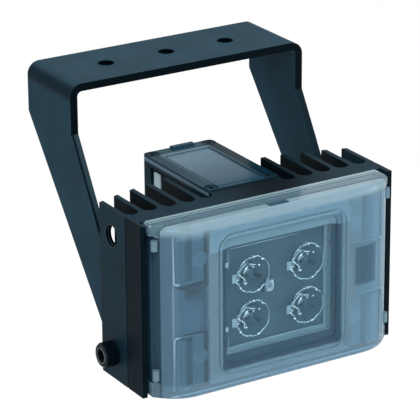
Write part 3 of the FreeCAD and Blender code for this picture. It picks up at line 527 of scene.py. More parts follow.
def cover_layers(tree, coords):
    """Masks over the cover, each with its colour and how solid it is, the lowest layer first. The sides hold painted
    shade on the left and painted light on the right, the top band a painted highlight, and the right square, the
    recessed sides, the notches, the flanks and the grooves painted shade.
    """
    x, y, z = axes(tree, coords)
    corner_height = between(tree, z, WINDOW_Z - ZONE_HALF_Z, WINDOW_Z + ZONE_HALF_Z, SIDE_SLOPE)
    zone_left = all_of(tree, between(tree, x, -FAR, -ZONE_X, ZONE_SLOPE), corner_height)
    zone_right = all_of(tree, between(tree, x, ZONE_X, FAR, ZONE_SLOPE), corner_height)
    # Painted shade on the left side of the cover and painted light on its right side
    shaded_side_left = between(tree, x, -FAR, -SIDE_X, SIDE_SLOPE)
    lit_side_right = between(tree, x, SIDE_X, FAR, SIDE_SLOPE)
    shade_right = all_of(tree, between(tree, x, SHADE_IN_X, SHADE_OUT_X, SHADE_SLOPE),
                         between(tree, z, SHADE_LOW_Z, SHADE_HIGH_Z, SHADE_SLOPE))
    foot = between(tree, z, -FAR, FOOT_Z, FOOT_SLOPE)
    # Painted highlight along the top band of the cover
    crown_highlight = all_of(tree, between(tree, y, -FAR, JOINT_Y), between(tree, z, TOP_BAND_Z, 0.0, CROWN_SLOPE))
    collar = between(tree, y, JOINT_Y, RIM_Y)
    rear = between(tree, y, RIM_Y, FAR)
    streak = all_of(tree, between(tree, y, RIM_Y + STREAK_NEAR, RIM_Y + STREAK_FAR),
                    between(tree, z, TOP_BAND_Z, 0.0))
    # Painted shade in the recessed sides, the grooves, the notches at top and bottom, and the flanks
    shaded_recess = all_of(tree, outside(tree, x, -RECESS_X, RECESS_X, CRISP), collar,
                    between(tree, z, WINDOW_Z - RECESS_HALF_Z, WINDOW_Z + RECESS_HALF_Z))
    shaded_joint_groove = between(tree, y, JOINT_Y - GROOVE_HALF, JOINT_Y + GROOVE_HALF, SHARP)
    shaded_rim_groove = between(tree, y, RIM_Y - RIM_GROOVE_FRONT, RIM_Y + GROOVE_HALF, SHARP)
    shaded_notch = all_of(tree, between(tree, x, -NOTCH_HALF, NOTCH_HALF),
                   between(tree, y, JOINT_Y - NOTCH_DEPTH, JOINT_Y),
                   outside(tree, z, FOOT_Z - NOTCH_DROP, TOP_BAND_Z))
    shaded_flank = all_of(tree, outside(tree, x, -FLANK_X, FLANK_X, SHARP), rear)
    return (
        (zone_left, tone(148, 184, 204), 0.11),
        (zone_right, tone(148, 192, 216), 0.26),
        # Painted shade on the left side, painted light on the right side
        (shaded_side_left, tone(106, 138, 162), 0.45),
        (lit_side_right, tone(112, 156, 184), 0.42),
        (shade_right, tone(96, 132, 154), 0.34),
        (foot, tone(142, 180, 204), 0.34),
        # Painted highlight on the top band
        (crown_highlight, tone(170, 200, 214), 0.42),
        (collar, tone(124, 158, 176), 0.35),
        (rear, tone(170, 200, 210), 0.50),
        (streak, tone(110, 140, 156), 0.50),
        # Painted shade in the recessed sides, grooves, notches and flanks
        (shaded_recess, tone(68, 98, 116), 0.70),
        (shaded_joint_groove, tone(70, 100, 118), 0.60),
        (shaded_rim_groove, tone(54, 84, 102), 0.70),
        (shaded_notch, tone(84, 114, 134), 0.70),
        (shaded_flank, tone(48, 80, 102), 0.75),
        (rib_mask(tree, coords), tone(118, 150, 170), 0.85),
    )


def frosted_cover():
    """Frosted polycarbonate with a clear window, and with other tones on its corners, sides, rim and ribs, some of
    them painted light and shade.
    """
    mat, tree, shader, coords = new_material("frosted_polycarbonate")
    clear = window_mask(tree, coords)
    fine = noise(tree, coords, COVER_MM)
    slow = noise(tree, coords, COVER_PATCH_MM)
    colour = blend_colour(tree, slow, tone(160, 196, 214), tone(174, 208, 224))
    solid = COVER_SOLID
    for mask, shade, share in (*cover_layers(tree, coords), (clear, tone(208, 226, 234), 0.0)):
        colour = blend_colour(tree, mask, colour, shade)
        solid = blend_value(tree, mask, solid, share)
    tree.links.new(colour, shader.inputs["Base Color"])
    tree.links.new(ramp(tree, clear, 0.0, 1.0, *COVER_ROUGH), shader.inputs["Roughness"])
    tree.links.new(invert(tree, solid), shader.inputs["Transmission Weight"])
    shader.inputs["IOR"].default_value = COVER_IOR
    shader.inputs["Specular Tint"].default_value = (*COOL, 1)
    tree.links.new(bump(tree, fine, *COVER_BUMP), shader.inputs["Normal"])
    return mat


def smoked_lid():
    """Smoked plastic with a paler and more solid sight panel, a painted shadow on its right border and a pale band
    round it.
    """
    mat, tree, shader, coords = new_material("smoked_polycarbonate")
    x, y, z = axes(tree, coords)
    panel = all_of(tree, between(tree, x, -PANEL_HALF_X, PANEL_HALF_X, PANEL_SIDE_SLOPE),
                   between(tree, y, PANEL_FRONT, PANEL_BACK, PANEL_END_SLOPE))
    rim = invert(tree, all_of(tree, between(tree, x, -LID_HALF_X, LID_HALF_X, SHARP),
                              between(tree, y, LID_FRONT, LID_BACK, SHARP)))
    fine = noise(tree, coords, LID_MM)
    slow = noise(tree, coords, LID_PATCH_MM, LID_PATCH_DETAIL)
    # Painted shadow: the border right of the sight panel is darker
    border = blend_colour(tree, between(tree, x, PANEL_HALF_X + SHADOW_INSET, FAR, SHADOW_SLOPE),
                          blend_colour(tree, slow, tone(28, 66, 84), tone(42, 82, 100)),
                          blend_colour(tree, slow, tone(8, 40, 54), tone(18, 54, 68)))
    pale = blend_colour(tree, ramp(tree, y, PANEL_FRONT, PANEL_BACK, 0.0, 1.0),
                        blend_colour(tree, slow, tone(34, 64, 80), tone(48, 78, 94)),
                        blend_colour(tree, slow, tone(104, 134, 152), tone(118, 148, 164)))
    band = between(tree, z, LID_BAND_LOW, LID_BAND_HIGH, CRISP)
    tab = ramp(tree, z, TAB_TOP_Z - SLOPE, TAB_TOP_Z - SHARP, 0.0, 1.0)
    side = blend_colour(tree, tab, blend_colour(tree, band, tone(26, 50, 62), tone(104, 132, 150)),
                        tone(100, 128, 142))
    tree.links.new(blend_colour(tree, rim, blend_colour(tree, panel, border, pale), side),
                   shader.inputs["Base Color"])
    solid = blend_value(tree, rim, blend_value(tree, panel, *LID_SOLID), LID_EDGE_SOLID)
    tree.links.new(invert(tree, solid), shader.inputs["Transmission Weight"])
    tree.links.new(spread_noise(tree, fine, *LID_ROUGH), shader.inputs["Roughness"])
    shader.inputs["IOR"].default_value = LID_IOR
    shader.inputs["Specular Tint"].default_value = (*COOL, 1)
    tree.links.new(bump(tree, fine, *CLEAR_BUMP), shader.inputs["Normal"])
    return mat


def frame_plastic():
    """Pale moulding whose front bars carry painted shade, except the top one, which carries a painted highlight."""
    mat, tree, shader, coords = new_material("frame_moulding")
    y, z = axes(tree, coords)[1:]
    # Painted shade on the front bars, and a painted highlight on the top bar
    front = ramp(tree, y, FRAME_FRONT_Y, FRAME_FRONT_Y - SLOPE, 0.0, 1.0)
    high = ramp(tree, z, FRAME_TOP_Z - FRAME_TOP_SLOPE, FRAME_TOP_Z, 0.0, 1.0)
    fine = noise(tree, coords, FRAME_MM)
    slow = noise(tree, coords, FRAME_PATCH_MM)
    inner = blend_colour(tree, slow, tone(160, 184, 194), tone(176, 198, 206))
    bar_light_and_shade = blend_colour(tree, high, blend_colour(tree, slow, tone(66, 92, 108), tone(80, 106, 122)),
                        tone(168, 192, 202))
    tree.links.new(blend_colour(tree, front, inner, bar_light_and_shade), shader.inputs["Base Color"])
    tree.links.new(spread_noise(tree, fine, *FRAME_ROUGH), shader.inputs["Roughness"])
    shader.inputs["Specular IOR Level"].default_value = FRAME_SHINE
    tree.links.new(bump(tree, fine, *FRAME_BUMP, soft_edges(tree)), shader.inputs["Normal"])
    return mat


def paint_light_and_shade(mat, masks):
    """Puts painted light and shade over a finish: masks turns coordinates into pairs of a mask and its tone."""
    tree = mat.node_tree
    base = next(n for n in tree.nodes if n.type == "BSDF_PRINCIPLED").inputs["Base Color"]
    coords = next(n for n in tree.nodes if n.type == "TEX_COORD").outputs["Object"]
    colour = base.links[0].from_socket
    for mask, shade in masks(tree, coords):
        colour = blend_colour(tree, mask, colour, shade)
    tree.links.new(colour, base)
    return mat


def slot_shade_masks(tree, coords):
    """Painted shade deep between the fins, on the middle of the head's top, on the lips beside the cover and in the
    spare holes, and a darker front strip on the walls.
    """
    x, y, z = axes(tree, coords)
    # Painted shade between the fins, on the top middle, on the lips and in the spare holes; the walls' front strip
    # is darker
    deep = all_of(tree, between(tree, x, -SLOT_X, SLOT_X), outside(tree, x, -CHAMBER_X, CHAMBER_X),
                  between(tree, z, HEAD_FOOT_Z + SLOT_INSET, HEAD_TOP_Z - SLOT_INSET))
    middle = all_of(tree, between(tree, x, *TOP_SHADE_X, TOP_SHADE_SLOPE), between(tree, z, HEAD_TOP_Z - CRISP, 0.0))
    lips = between(tree, y, -FAR, LIP_FRONT_Y, SHARP)
    strip = all_of(tree, outside(tree, x, -WALL_X, WALL_X), between(tree, y, -FAR, GROOVE_Y))
    spare = all_of(tree, between(tree, x, -SPARE_OUT_X, SPARE_OUT_X, KNIFE),
                   outside(tree, x, -SPARE_IN_X, SPARE_IN_X),
                   between(tree, y, SPARE_Y - SPARE_REACH, SPARE_Y + SPARE_REACH),
                   between(tree, z, SPARE_Z - SPARE_REACH, SPARE_Z + SPARE_REACH))
    return ((deep, tone(2, 12, 16)), (middle, tone(6, 16, 22)), (lips, tone(8, 18, 24)),
            (strip, tone(1, 16, 23)), (spare, tone(1, 5, 8)))


def strap_light_and_shade_masks(tree, coords):
    """Painted shade on the outer side of the bracket's left bend, on its cut edges and on the walls of its holes,
    with painted light on the cut edges of the left arm.
    """
    x, y, z = axes(tree, coords)
    bend = all_of(tree, between(tree, x, -FAR, BEND_X, BEND_SIDE_SLOPE), between(tree, z, BEND_Z, 0.0, BEND_SLOPE))
    front = all_of(tree, between(tree, y, -FAR, EDGE_Y, KNIFE), between(tree, z, EDGE_FOOT_Z, FAR, SHARP))
    arms = between(tree, z, -FAR, EDGE_FOOT_Z, SHARP)
    left = all_of(tree, between(tree, x, -EDGE_OUT_X, -EDGE_IN_X, SHARP), arms)
    line = all_of(tree, between(tree, x, -EDGE_OUT_X, EDGE_LINE_X, SHARP), arms)
    right = all_of(tree, between(tree, x, EDGE_IN_X, EDGE_OUT_X, SHARP), arms)
    holes = all_of(tree, between(tree, x, -HOLES_END, HOLES_END), between(tree, y, -HOLE_REACH, HOLE_REACH),
                   between(tree, z, HOLE_FOOT_Z, HOLE_TOP_Z, KNIFE))
    # Painted shade on the bend, the front edge, the left arm's outer line, the right arm's edges and the holes;
    # painted light on the left arm's edges
    return ((bend, tone(2, 23, 33)), (front, tone(3, 10, 14)), (left, tone(38, 54, 62)),
            (line, tone(6, 16, 22)), (right, tone(14, 28, 36)), (holes, tone(1, 5, 7)))


def anodised(name):
    """Black anodised aluminium with its grain along the extrusion."""
    return grainy(name, tone(10, 29, 38), tone(20, 43, 54), 0.5, 0.25, 0.02, stretch=BRUSHED, specular=DULL,
                  tint=COOL)


def powder_paint(name):
    """Black powder paint, a little bumpy."""
    return grainy(name, tone(16, 41, 53), tone(26, 57, 72), 0.5, 0.35, 0.05, specular=DULL, tint=COOL)


def dress(node, mat):
    """Puts one material into every slot of a CAD object."""
    slots = NODES[node].data.materials
    if len(slots):
        for k in range(len(slots)):
            slots[k] = mat
    else:
        slots.append(mat)


# Finishes. After the two tones come roughness, size of the grain and depth of the grain
ANODISED = anodised("black_anodised")
# Heat sink with painted shade between its fins, on its top, on its lips and in its spare holes
EXTRUSION = paint_light_and_shade(anodised("black_anodised_extrusion"), slot_shade_masks)
# Painted highlight at the mouths of the spare holes
ANODISED_EDGE_HIGHLIGHT = grainy("anodised_edge_highlight", tone(28, 56, 68), tone(58, 84, 94), 0.4, 0.3, 0.01, specular=0.1, tint=COOL)
PAINT = powder_paint("bracket_powder_paint")
# Bracket paint with painted light and shade on its bend, edges and holes
STRAP = paint_light_and_shade(powder_paint("bracket_strap_paint"), strap_light_and_shade_masks)
BLACK_STEEL = grainy("black_screw_steel", tone(8, 26, 34), tone(16, 40, 50), 0.38, 0.3, 0.02, specular=DULL,
                     tint=COOL)
PIVOT_STEEL = grainy("pivot_screw_steel", tone(2, 10, 15), tone(7, 18, 25), 0.38, 0.3, 0.02, specular=DULL,
                     tint=COOL)
# Painted highlight on the edges of the pivot screw sockets
SOCKET_HIGHLIGHT_STEEL = grainy("socket_edge_highlight", tone(60, 74, 76), tone(176, 186, 184), 0.34, 0.5, 0.02, metal=0.8)
STEEL = grainy("screw_steel", tone(120, 140, 150), tone(160, 178, 186), 0.3, 0.3, 0.02, metal=1.0)
NYLON = grainy("dark_nylon", tone(30, 44, 52), tone(44, 58, 66), 0.5, 0.4, 0.02, specular=0.3)
RUBBER = grainy("seal_rubber", tone(12, 24, 30), tone(22, 36, 44), 0.75, 0.4, 0.04, specular=0.05, tint=COOL)
WHITE = grainy("pale_moulding", tone(150, 176, 186), tone(168, 192, 202), 0.45, 0.6, 0.02)
PAD_RUBBER = grainy("pale_pad_rubber", tone(88, 116, 130), tone(104, 130, 144), 0.6, 0.4, 0.02, specular=0.2)
# Window frame with painted shade on its front bars and a painted highlight on its top bar
FRAME = frame_plastic()
ALUMINIUM = grainy("bare_aluminium", (0.50, 0.54, 0.57), (0.66, 0.69, 0.71), 0.35, 0.4, 0.02, metal=1.0)
PAD = grainy("grey_gap_pad", (0.30, 0.34, 0.36), (0.38, 0.42, 0.44), 0.8, 0.5, 0.03)
BOARD = grainy("lamp_board_mask", tone(100, 124, 136), tone(112, 136, 148), 0.5, 0.5, 0.01, specular=0.15,
               tint=COOL)
LAMP = grainy("lamp_carrier", tone(104, 132, 146), tone(124, 152, 164), 0.3, 0.4, 0.01, specular=0.3)
LEADS = grainy("lead_insulation", (0.35, 0.04, 0.03), (0.48, 0.06, 0.05), 0.45, 0.4, 0.01)
PLASTIC = grainy("black_gland_plastic", tone(14, 32, 40), tone(26, 46, 56), 0.5, 0.4, 0.03, specular=0.08,
                 tint=COOL)
GREEN = grainy("green_circuit_board", (0.012, 0.10, 0.045), (0.02, 0.15, 0.07), 0.35, 0.5, 0.02)
TERMINAL = grainy("terminal_plastic", (0.03, 0.17, 0.09), (0.05, 0.24, 0.13), 0.45, 0.4, 0.02)
TRIMMER = grainy("trimmer_plastic", (0.02, 0.08, 0.30), (0.04, 0.12, 0.40), 0.4, 0.4, 0.02)
BRASS = grainy("brass_rotor", (0.55, 0.40, 0.16), (0.72, 0.56, 0.26), 0.3, 0.3, 0.02, metal=1.0)
CAN = grainy("capacitor_sleeve", (0.02, 0.025, 0.06), (0.04, 0.045, 0.10), 0.3, 0.4, 0.01)
FERRITE = grainy("coil_ferrite", (0.03, 0.03, 0.032), (0.05, 0.05, 0.052), 0.6, 0.3, 0.03)
LENS = clear_plastic("lens_acrylic", (0.95, 0.98, 1.0), 0.01, ior=1.12)
SENSOR = clear_plastic("sensor_epoxy", tone(168, 200, 218), 0.04, 0.5)
# Smoked lid with a painted shadow on its right border
SMOKED = smoked_lid()
# Painted glints: bright metal for the lens glints and the sensor's edges
GLINT = grainy("lens_and_sensor_glint", tone(240, 250, 254), tone(252, 254, 255), 0.14, 0.3, 0.01, metal=0.85,
               spread=0.04)
# Painted highlight: the bright line round each lens
RIM_HIGHLIGHT = grainy("lens_rim_highlight", tone(194, 216, 228), tone(220, 238, 246), 0.2, 0.3, 0.01, metal=0.7, spread=0.04)
WELD = grainy("weld_line", tone(112, 144, 162), tone(128, 158, 176), 0.6, 0.4, 0.01, specular=0.1)
BOSS_END = grainy("screw_boss_end", tone(116, 148, 168), tone(124, 156, 174), 0.5, 0.5, 0.01, specular=0.2)
LID_EDGE = grainy("lid_edge", tone(12, 42, 56), tone(24, 58, 74), 0.45, 0.4, 0.01, specular=0.05, tint=COOL)
CRYSTAL = grainy("sensor_facets", tone(84, 122, 144), tone(232, 246, 252), 0.3, 0.8, 0.02, metal=0.2)
# Frosted caps on the lens tabs, and painted highlights on the window frame
FROST_AND_HIGHLIGHT = grainy("frosted_edge_and_highlight", tone(188, 212, 224), tone(220, 236, 244), 0.4, 0.4, 0.01, specular=0.3)
CHIP = grainy("chip_body", tone(22, 24, 26), tone(36, 38, 40), 0.5, 0.3, 0.02)
# Cover with painted light and shade on its sides, top band, recessed sides, notches, flanks and grooves
COVER = frosted_cover()

for name, mat in {
    "bracket": STRAP, "pivot_screws": PIVOT_STEEL, "pivot_bushes": NYLON, "heat_sink": EXTRUSION,
    "front_cover": COVER, "cover_seal": RUBBER, "cover_screws": STEEL, "side_pads": PAD_RUBBER,
    "window_frame": FRAME, "heat_spreader": ALUMINIUM, "thermal_pad": PAD, "led_board": BOARD,
    "board_screws": STEEL, "led_emitters": LAMP, "led_lenses": LENS, "light_sensor": SENSOR,
    "led_leads": LEADS, "chamber_lid": SMOKED, "lid_seal": RUBBER, "lid_screws": BLACK_STEEL,
    "bottom_cap": ANODISED, "bottom_seal": RUBBER, "bottom_screws": STEEL, "gland_body": PLASTIC,
    "gland_locknut": PLASTIC, "gland_seal": RUBBER, "gland_nut": PLASTIC, "control_board": GREEN,
    "terminal_block": TERMINAL, "terminal_screws": STEEL, "adjusters": TRIMMER,
    "adjuster_rotors": BRASS, "capacitor": CAN, "driver_coil": FERRITE, "breather_patch": WHITE,
}.items():
    dress(name, mat)


def at(x, y, z):
    """Place given in millimetres about the tilt axis."""
    return PIVOT + Vector((x, y, z)) * MM


def piece(name, mesh, mat, body="head", smooth=True):
    """Object made from a mesh under construction, riding on a body."""
    bmesh.ops.recalc_face_normals(mesh, faces=mesh.faces)
    data = bpy.data.meshes.new(name)
    mesh.to_mesh(data)
    mesh.free()
    for face in data.polygons:
        face.use_smooth = smooth
    data.materials.append(mat)
    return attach(link(bpy.data.objects.new(name, data)), body)


def round_turns(steps):
    """Even turns once round, in radians."""
    return [2 * math.pi * k / steps for k in range(steps)]


def swelling(thin, more, steps):
    """Numbers that rise from thin by more in the middle and fall back, over a number of steps."""
    return [thin + more * math.sin(math.pi * k / steps) for k in range(steps + 1)]


def join_rings(mesh, rings, closed=False):
    """Faces from each ring of points to the next, and over both ends unless the last ring meets the first."""
    for first, second in zip(rings, rings[1:] + rings[:1] if closed else rings[1:]):
        for k in range(len(first)):
            mesh.faces.new((first[k], first[k - 1], second[k - 1], second[k]))
    if not closed:
        mesh.faces.new(rings[0])
        mesh.faces.new(rings[-1])


def add_tube(mesh, points, normal, radii, closed=False, sides=TUBE_SIDES):
    """Tube along points that lie across a normal, a ring if closed, with its own radius at each point."""
    count = len(points)
    rings = []
    for k, (point, radius) in enumerate(zip(points, radii)):
        ahead = points[(k + 1) % count] if closed or k + 1 < count else point
        behind = points[k - 1] if closed or k else point
        side = (ahead - behind).normalized().cross(normal).normalized()
        rings.append([mesh.verts.new(point + (side * math.cos(t) + normal * math.sin(t)) * radius * MM)
                      for t in round_turns(sides)])
    join_rings(mesh, rings, closed)


def add_ball(mesh, centre, radius):
    """Ball with its radius in millimetres."""
    place = Matrix.Translation(centre)
    bmesh.ops.create_icosphere(mesh, subdivisions=BALL_DIVISIONS, radius=radius * MM, matrix=place)


def add_block(mesh, low, high, bevel):
    """Block between two corners with rounded edges, all in millimetres about the tilt axis."""
    near = at(*low)
    far = at(*high)
    place = Matrix.Translation((near + far) / 2) @ Matrix.Diagonal((*(far - near), 1))
    made = bmesh.ops.create_cube(mesh, size=1.0, matrix=place)
    edges = list(dict.fromkeys(e for v in made["verts"] for e in v.link_edges))
    bmesh.ops.bevel(mesh, geom=edges, offset=bevel * MM, segments=BEVEL_SEGMENTS, affect="EDGES",
                    profile=BEVEL_PROFILE)


def add_box_at(mesh, x, z, box, bevel):
    """Block whose two corners are given about a place on the control board."""
    low, high = ((x + off_x, y, z + off_z) for off_x, y, off_z in box)
    add_block(mesh, low, high, bevel)


def add_pair(mesh, x, reaches, low, high, bevel):
    """Two blocks at both sides of a place along X; low and high give their depth and height."""
    for side in (-1, 1):
        left, right = sorted(x + side * reach for reach in reaches)
        add_block(mesh, (left, *low), (right, *high), bevel)


def add_ring(mesh, centre, normal, radius, thick):
    """Round ring about a normal, in millimetres."""
    first = normal.orthogonal().normalized()
    second = normal.cross(first)
    points = [centre + (first * math.cos(t) + second * math.sin(t)) * radius * MM
              for t in round_turns(RING_STEPS)]
    add_tube(mesh, points, normal, [thick] * len(points), True)


def rim_radius(turn):
    """Radius of a lens at the rim with its scallops, in millimetres."""
    step = 2 * math.pi / SCALLOPS
    off = (turn + step / 2) % step - step / 2
    reach = LENS_RADIUS + SCALLOP_RADIUS - SCALLOP_BITE
    across = reach * math.sin(off)
    if abs(across) >= SCALLOP_RADIUS:
        return LENS_RADIUS
    return min(LENS_RADIUS, reach * math.cos(off) - math.sqrt(SCALLOP_RADIUS ** 2 - across ** 2))


def rim_thickness(turn):
    """Radius of the painted highlight line round a lens, which is thick at the lower right."""
    thin = RIM_THIN + RIM_WAVE * math.cos(turn - RIM_HEAVY) + RIM_WAVE * math.sin(RIM_WAVES * turn)
    if turn <= THICK_FROM:
        return thin
    return thin + THICK_MORE * max(0.0, math.cos(THICK_NARROW * (turn - THICK_MIDDLE))) ** 2


def on_lens(centre, x, z):
    """Place on the front of a lens, on its flat rim or down in its dish."""
    deep = max(0.0, 1 - math.hypot(x, z) / DISH_RADIUS) * DISH_DEPTH
    return at(centre[0] + x, LENS_FRONT + deep, centre[1] + z)


def round_lens(centre, reach, turn):
    """Place on the front of a lens, given by its distance from the middle and a turn."""
    return on_lens(centre, reach * math.cos(turn), reach * math.sin(turn))


def make_lens_details():
    """Painted highlights on the four lenses, made as bright rim lines and as glint beads, dots and lines, and
    frosted caps on their tabs.
    """
    rim_highlights = bmesh.new()
    glints = bmesh.new()
    caps = bmesh.new()
    turns = round_turns(RIM_STEPS)
    inner = [math.radians(degrees) for degrees in INNER_GLINT_LINE]
    for centre in LENS_PLACES:
        add_tube(rim_highlights, [round_lens(centre, rim_radius(t) - RIM_INSET, t) for t in turns], AWAY,
                 [rim_thickness(t) for t in turns], True)
        for degrees, size in RIM_GLINT_BEADS:
            turn = math.radians(degrees)
            add_ball(glints, round_lens(centre, rim_radius(turn) - BEAD_INSET, turn), size)
        reaches = [(INNER_REACH + INNER_WAVE * math.sin(INNER_WAVES * t)) * LENS_RADIUS for t in inner]
        add_tube(glints, [round_lens(centre, reach, t) for reach, t in zip(reaches, inner)], AWAY,
                 swelling(INNER_THIN, INNER_MORE, len(inner) - 1))
        for x, z, size in DISH_GLINT_DOTS:
            add_ball(glints, on_lens(centre, x, z), size)
        for stroke in DISH_GLINT_LINES:
            add_tube(glints, [on_lens(centre, x, z) for x, z, _ in stroke], AWAY, [size for _, _, size in stroke])
        for box, rise in TAB_BLOCKS:
            low, high = ((centre[0] + x, LENS_FRONT + y, centre[1] + z + rise) for x, y, z in box)
            add_block(caps, low, high, FINE_BEVEL)
    piece("lens_rim_highlights", rim_highlights, RIM_HIGHLIGHT)
    piece("lens_glints", glints, GLINT)
    piece("lens_tab_caps", caps, FROST_AND_HIGHLIGHT, smooth=False)


def squared(share):
    """Sine or cosine drawn out towards a square's corners."""
    return math.copysign(abs(share) ** SENSOR_SQUARENESS, share)


def make_sensor_details():
    """Cut facets on the light sensor, with thin bright edges that are painted glints."""
    facets = bmesh.new()
    edges = bmesh.new()
    rings = []
    for half_x, half_z, y, turn in SENSOR_RINGS:
        spots = [math.radians(360 // SENSOR_SIDES * k + turn) for k in range(SENSOR_SIDES)]
        rings.append([facets.verts.new(at(SENSOR_MIDDLE[0] + squared(math.cos(t)) * half_x, y,
                                          SENSOR_MIDDLE[1] + squared(math.sin(t)) * half_z)) for t in spots])
    for low, high in zip(rings, rings[1:]):
        for k in range(SENSOR_SIDES):
            facets.faces.new((low[k], low[(k + 1) % SENSOR_SIDES], high[k]))
            facets.faces.new((high[k], high[k - 1], low[k]))
    facets.faces.new(rings[-1])
    facets.faces.new(rings[0])
    for ring in rings[:-1]:
        add_tube(edges, [v.co.copy() for v in ring], AWAY, [SENSOR_RING_EDGE] * SENSOR_SIDES, True,
                 SENSOR_EDGE_SIDES)
    for k in range(SENSOR_SIDES):
        for start, end in ((rings[0][k], rings[1][k]), (rings[1][k], rings[2][k])):
            add_tube(edges, [start.co.copy(), end.co.copy()], AWAY, [SENSOR_CROSS_EDGE] * 2,
                     sides=SENSOR_EDGE_SIDES)
    piece("sensor_facets", facets, CRYSTAL, smooth=False)
    piece("sensor_edge_glints", edges, GLINT)


def make_frame_details():
    """Thin pale beads along the inside of the window frame, which are painted highlights, and two tabs on its left
    bar.
    """
    beads = bmesh.new()
    for start, end, radius in FRAME_HIGHLIGHT_BEADS:
        steps = [Vector(start).lerp(Vector(end), k / BEAD_STEPS) for k in range(BEAD_STEPS + 1)]
        shares = swelling(BEAD_END, 1 - BEAD_END, BEAD_STEPS)
        add_tube(beads, [at(*p) for p in steps], AWAY, [radius * share for share in shares])
    for rise in FRAME_TAB_HEIGHTS:
        low, high = ((x, y, rise + z) for x, y, z in FRAME_TAB)
        add_block(beads, low, high, FRAME_TAB_BEVEL)
    piece("window_frame_highlights_and_tabs", beads, FROST_AND_HIGHLIGHT)


def make_cover_details():
    """Weld lines round the corner pockets, and the flat ends of the screw bosses, in the cover's plastic."""
    lines = bmesh.new()
    ends = bmesh.new()
    for side in (-1, 1):
        for outer, inner in POCKETS:
            corner = math.copysign(WELD_CORNER, inner - outer)
            path = [(WELD_OUT_X, outer), (WELD_OUT_X, inner - corner)]
            path += [(WELD_TURN_X + WELD_CORNER * math.cos(t), inner - corner * (1 - math.sin(t)))
                     for t in (math.pi / 2 / WELD_CORNER_STEPS * k for k in range(1, WELD_CORNER_STEPS + 1))]
            path += [(WELD_KNEE_X, inner), (WELD_END_X, inner - corner * WELD_DROP)]
            radii = [WELD_START] + [WELD_LEFT if side < 0 else WELD_RIGHT] * (len(path) - 2) + [WELD_STOP]
            add_tube(lines, [at(side * x, WELD_Y, z) for x, z in path], AWAY, radii)
        for z in BOSS_HEIGHTS:
            join_rings(ends, [
                [ends.verts.new(at(side * BOSS_X + BOSS_RADIUS * math.cos(t), y, z + BOSS_RADIUS * math.sin(t)))
                 for t in round_turns(BOSS_STEPS)] for y in (BOSS_Y, BOSS_Y + BOSS_THICK)])
    piece("pocket_weld_lines", lines, WELD)
    piece("screw_boss_ends", ends, BOSS_END, smooth=False)


def make_screw_details():
    """Knurl of the two pivot screws, with painted highlights as rings on their socket edges and on the edges of the
    spare holes above them.
    """
    knurl = bmesh.new()
    edges = bmesh.new()
    spare_highlights = bmesh.new()
    for side in (-1, 1):
        rings = []
        for x, swell in KNURL_RINGS:
            ring = []
            for k, turn in enumerate(round_turns(KNURL_STEPS)):
                radius = KNURL_RADIUS + (swell if k % 2 else swell * KNURL_VALLEY)
                ring.append(knurl.verts.new(at(side * x, radius * math.cos(turn), radius * math.sin(turn))))
            rings.append(ring)
        join_rings(knurl, rings, True)
        out = Vector((side, 0, 0))
        for x, radius, thick in SOCKET_HIGHLIGHTS:
            add_ring(edges, at(side * x, 0, 0), out, radius, thick)
        for x, radius, thick in SPARE_HIGHLIGHTS:
            add_ring(spare_highlights, at(side * x, 0, SPARE_HEIGHT), out, radius, thick)
    piece("spare_hole_highlights", spare_highlights, ANODISED_EDGE_HIGHLIGHT)
    piece("pivot_screw_knurls", knurl, PIVOT_STEEL, "bracket", smooth=False)
    piece("pivot_socket_highlights", edges, SOCKET_HIGHLIGHT_STEEL, "bracket")


def make_lid_details():
    """Two rings at each lid screw, and a bead round the sight panel of the lid."""
    rings = bmesh.new()
    for x in LID_SCREWS_X:
        for y in LID_SCREWS_Y:
            for z, radius in LID_RINGS:
                add_ring(rings, at(x, y, z), UP, radius, LID_RING_THICK)
    panel = []
    for k, (x, y) in enumerate(PANEL_CORNERS):
        middle_x = x - math.copysign(PANEL_CORNER, x)
        middle_y = y - math.copysign(PANEL_CORNER, y - PANEL_MIDDLE_Y)
        for j in range(PANEL_CORNER_STEPS + 1):
            spot = math.pi + k * math.pi / 2 + j * math.pi / (2 * PANEL_CORNER_STEPS)
            panel.append(at(middle_x + math.cos(spot), middle_y + math.sin(spot), PANEL_BEAD_Z))
    add_tube(rings, panel, UP, [PANEL_BEAD] * len(panel), True)
    piece("lid_rings", rings, LID_EDGE)


def make_board_details():
    """Chips with legs and small resistors with end caps on the control board."""
    bodies = bmesh.new()
    legs = bmesh.new()
    for x, z in CHIPS:
        add_box_at(bodies, x, z, CHIP_BOX, CHIP_BEVEL)
        for k in range(LEGS):
            foot = z - LEG_FOOT + LEG_STEP * k
            add_pair(legs, x, LEG_REACHES, (LEG_Y, foot), (BOARD_Y, foot + LEG_WIDTH), LEG_BEVEL)
    for x, z in RESISTORS:
        add_box_at(bodies, x, z, RESISTOR_BOX, RESISTOR_BEVEL)
        add_pair(legs, x, END_REACHES, (END_Y, z - END_HALF_Z), (BOARD_Y, z + END_HALF_Z), FINE_BEVEL)
    piece("board_chips", bodies, CHIP, smooth=False)
    piece("board_chip_legs", legs, STEEL, smooth=False)


def make_bracket_details():
    """Bead of paint round each fixing hole, on both faces of the plate."""
    rings = bmesh.new()
    for x in FIXING_HOLES_X:
        for z in FIXING_BEADS_Z:
            add_ring(rings, at(x, PLATE_MIDDLE, z), UP, FIXING_BEAD_RADIUS, FIXING_BEAD)
    piece("fixing_hole_beads", rings, PAINT, "bracket")


def background_nodes(tree):
    """1 for what the camera, metal and clear plastic see, 0 for the light on the object."""
    path = tree.nodes.new("ShaderNodeLightPath")
    seen = path.outputs["Is Camera Ray"]
    for name in ("Is Glossy Ray", "Is Transmission Ray"):
        seen = calculate(tree, "MAXIMUM", seen, path.outputs[name])
    return seen


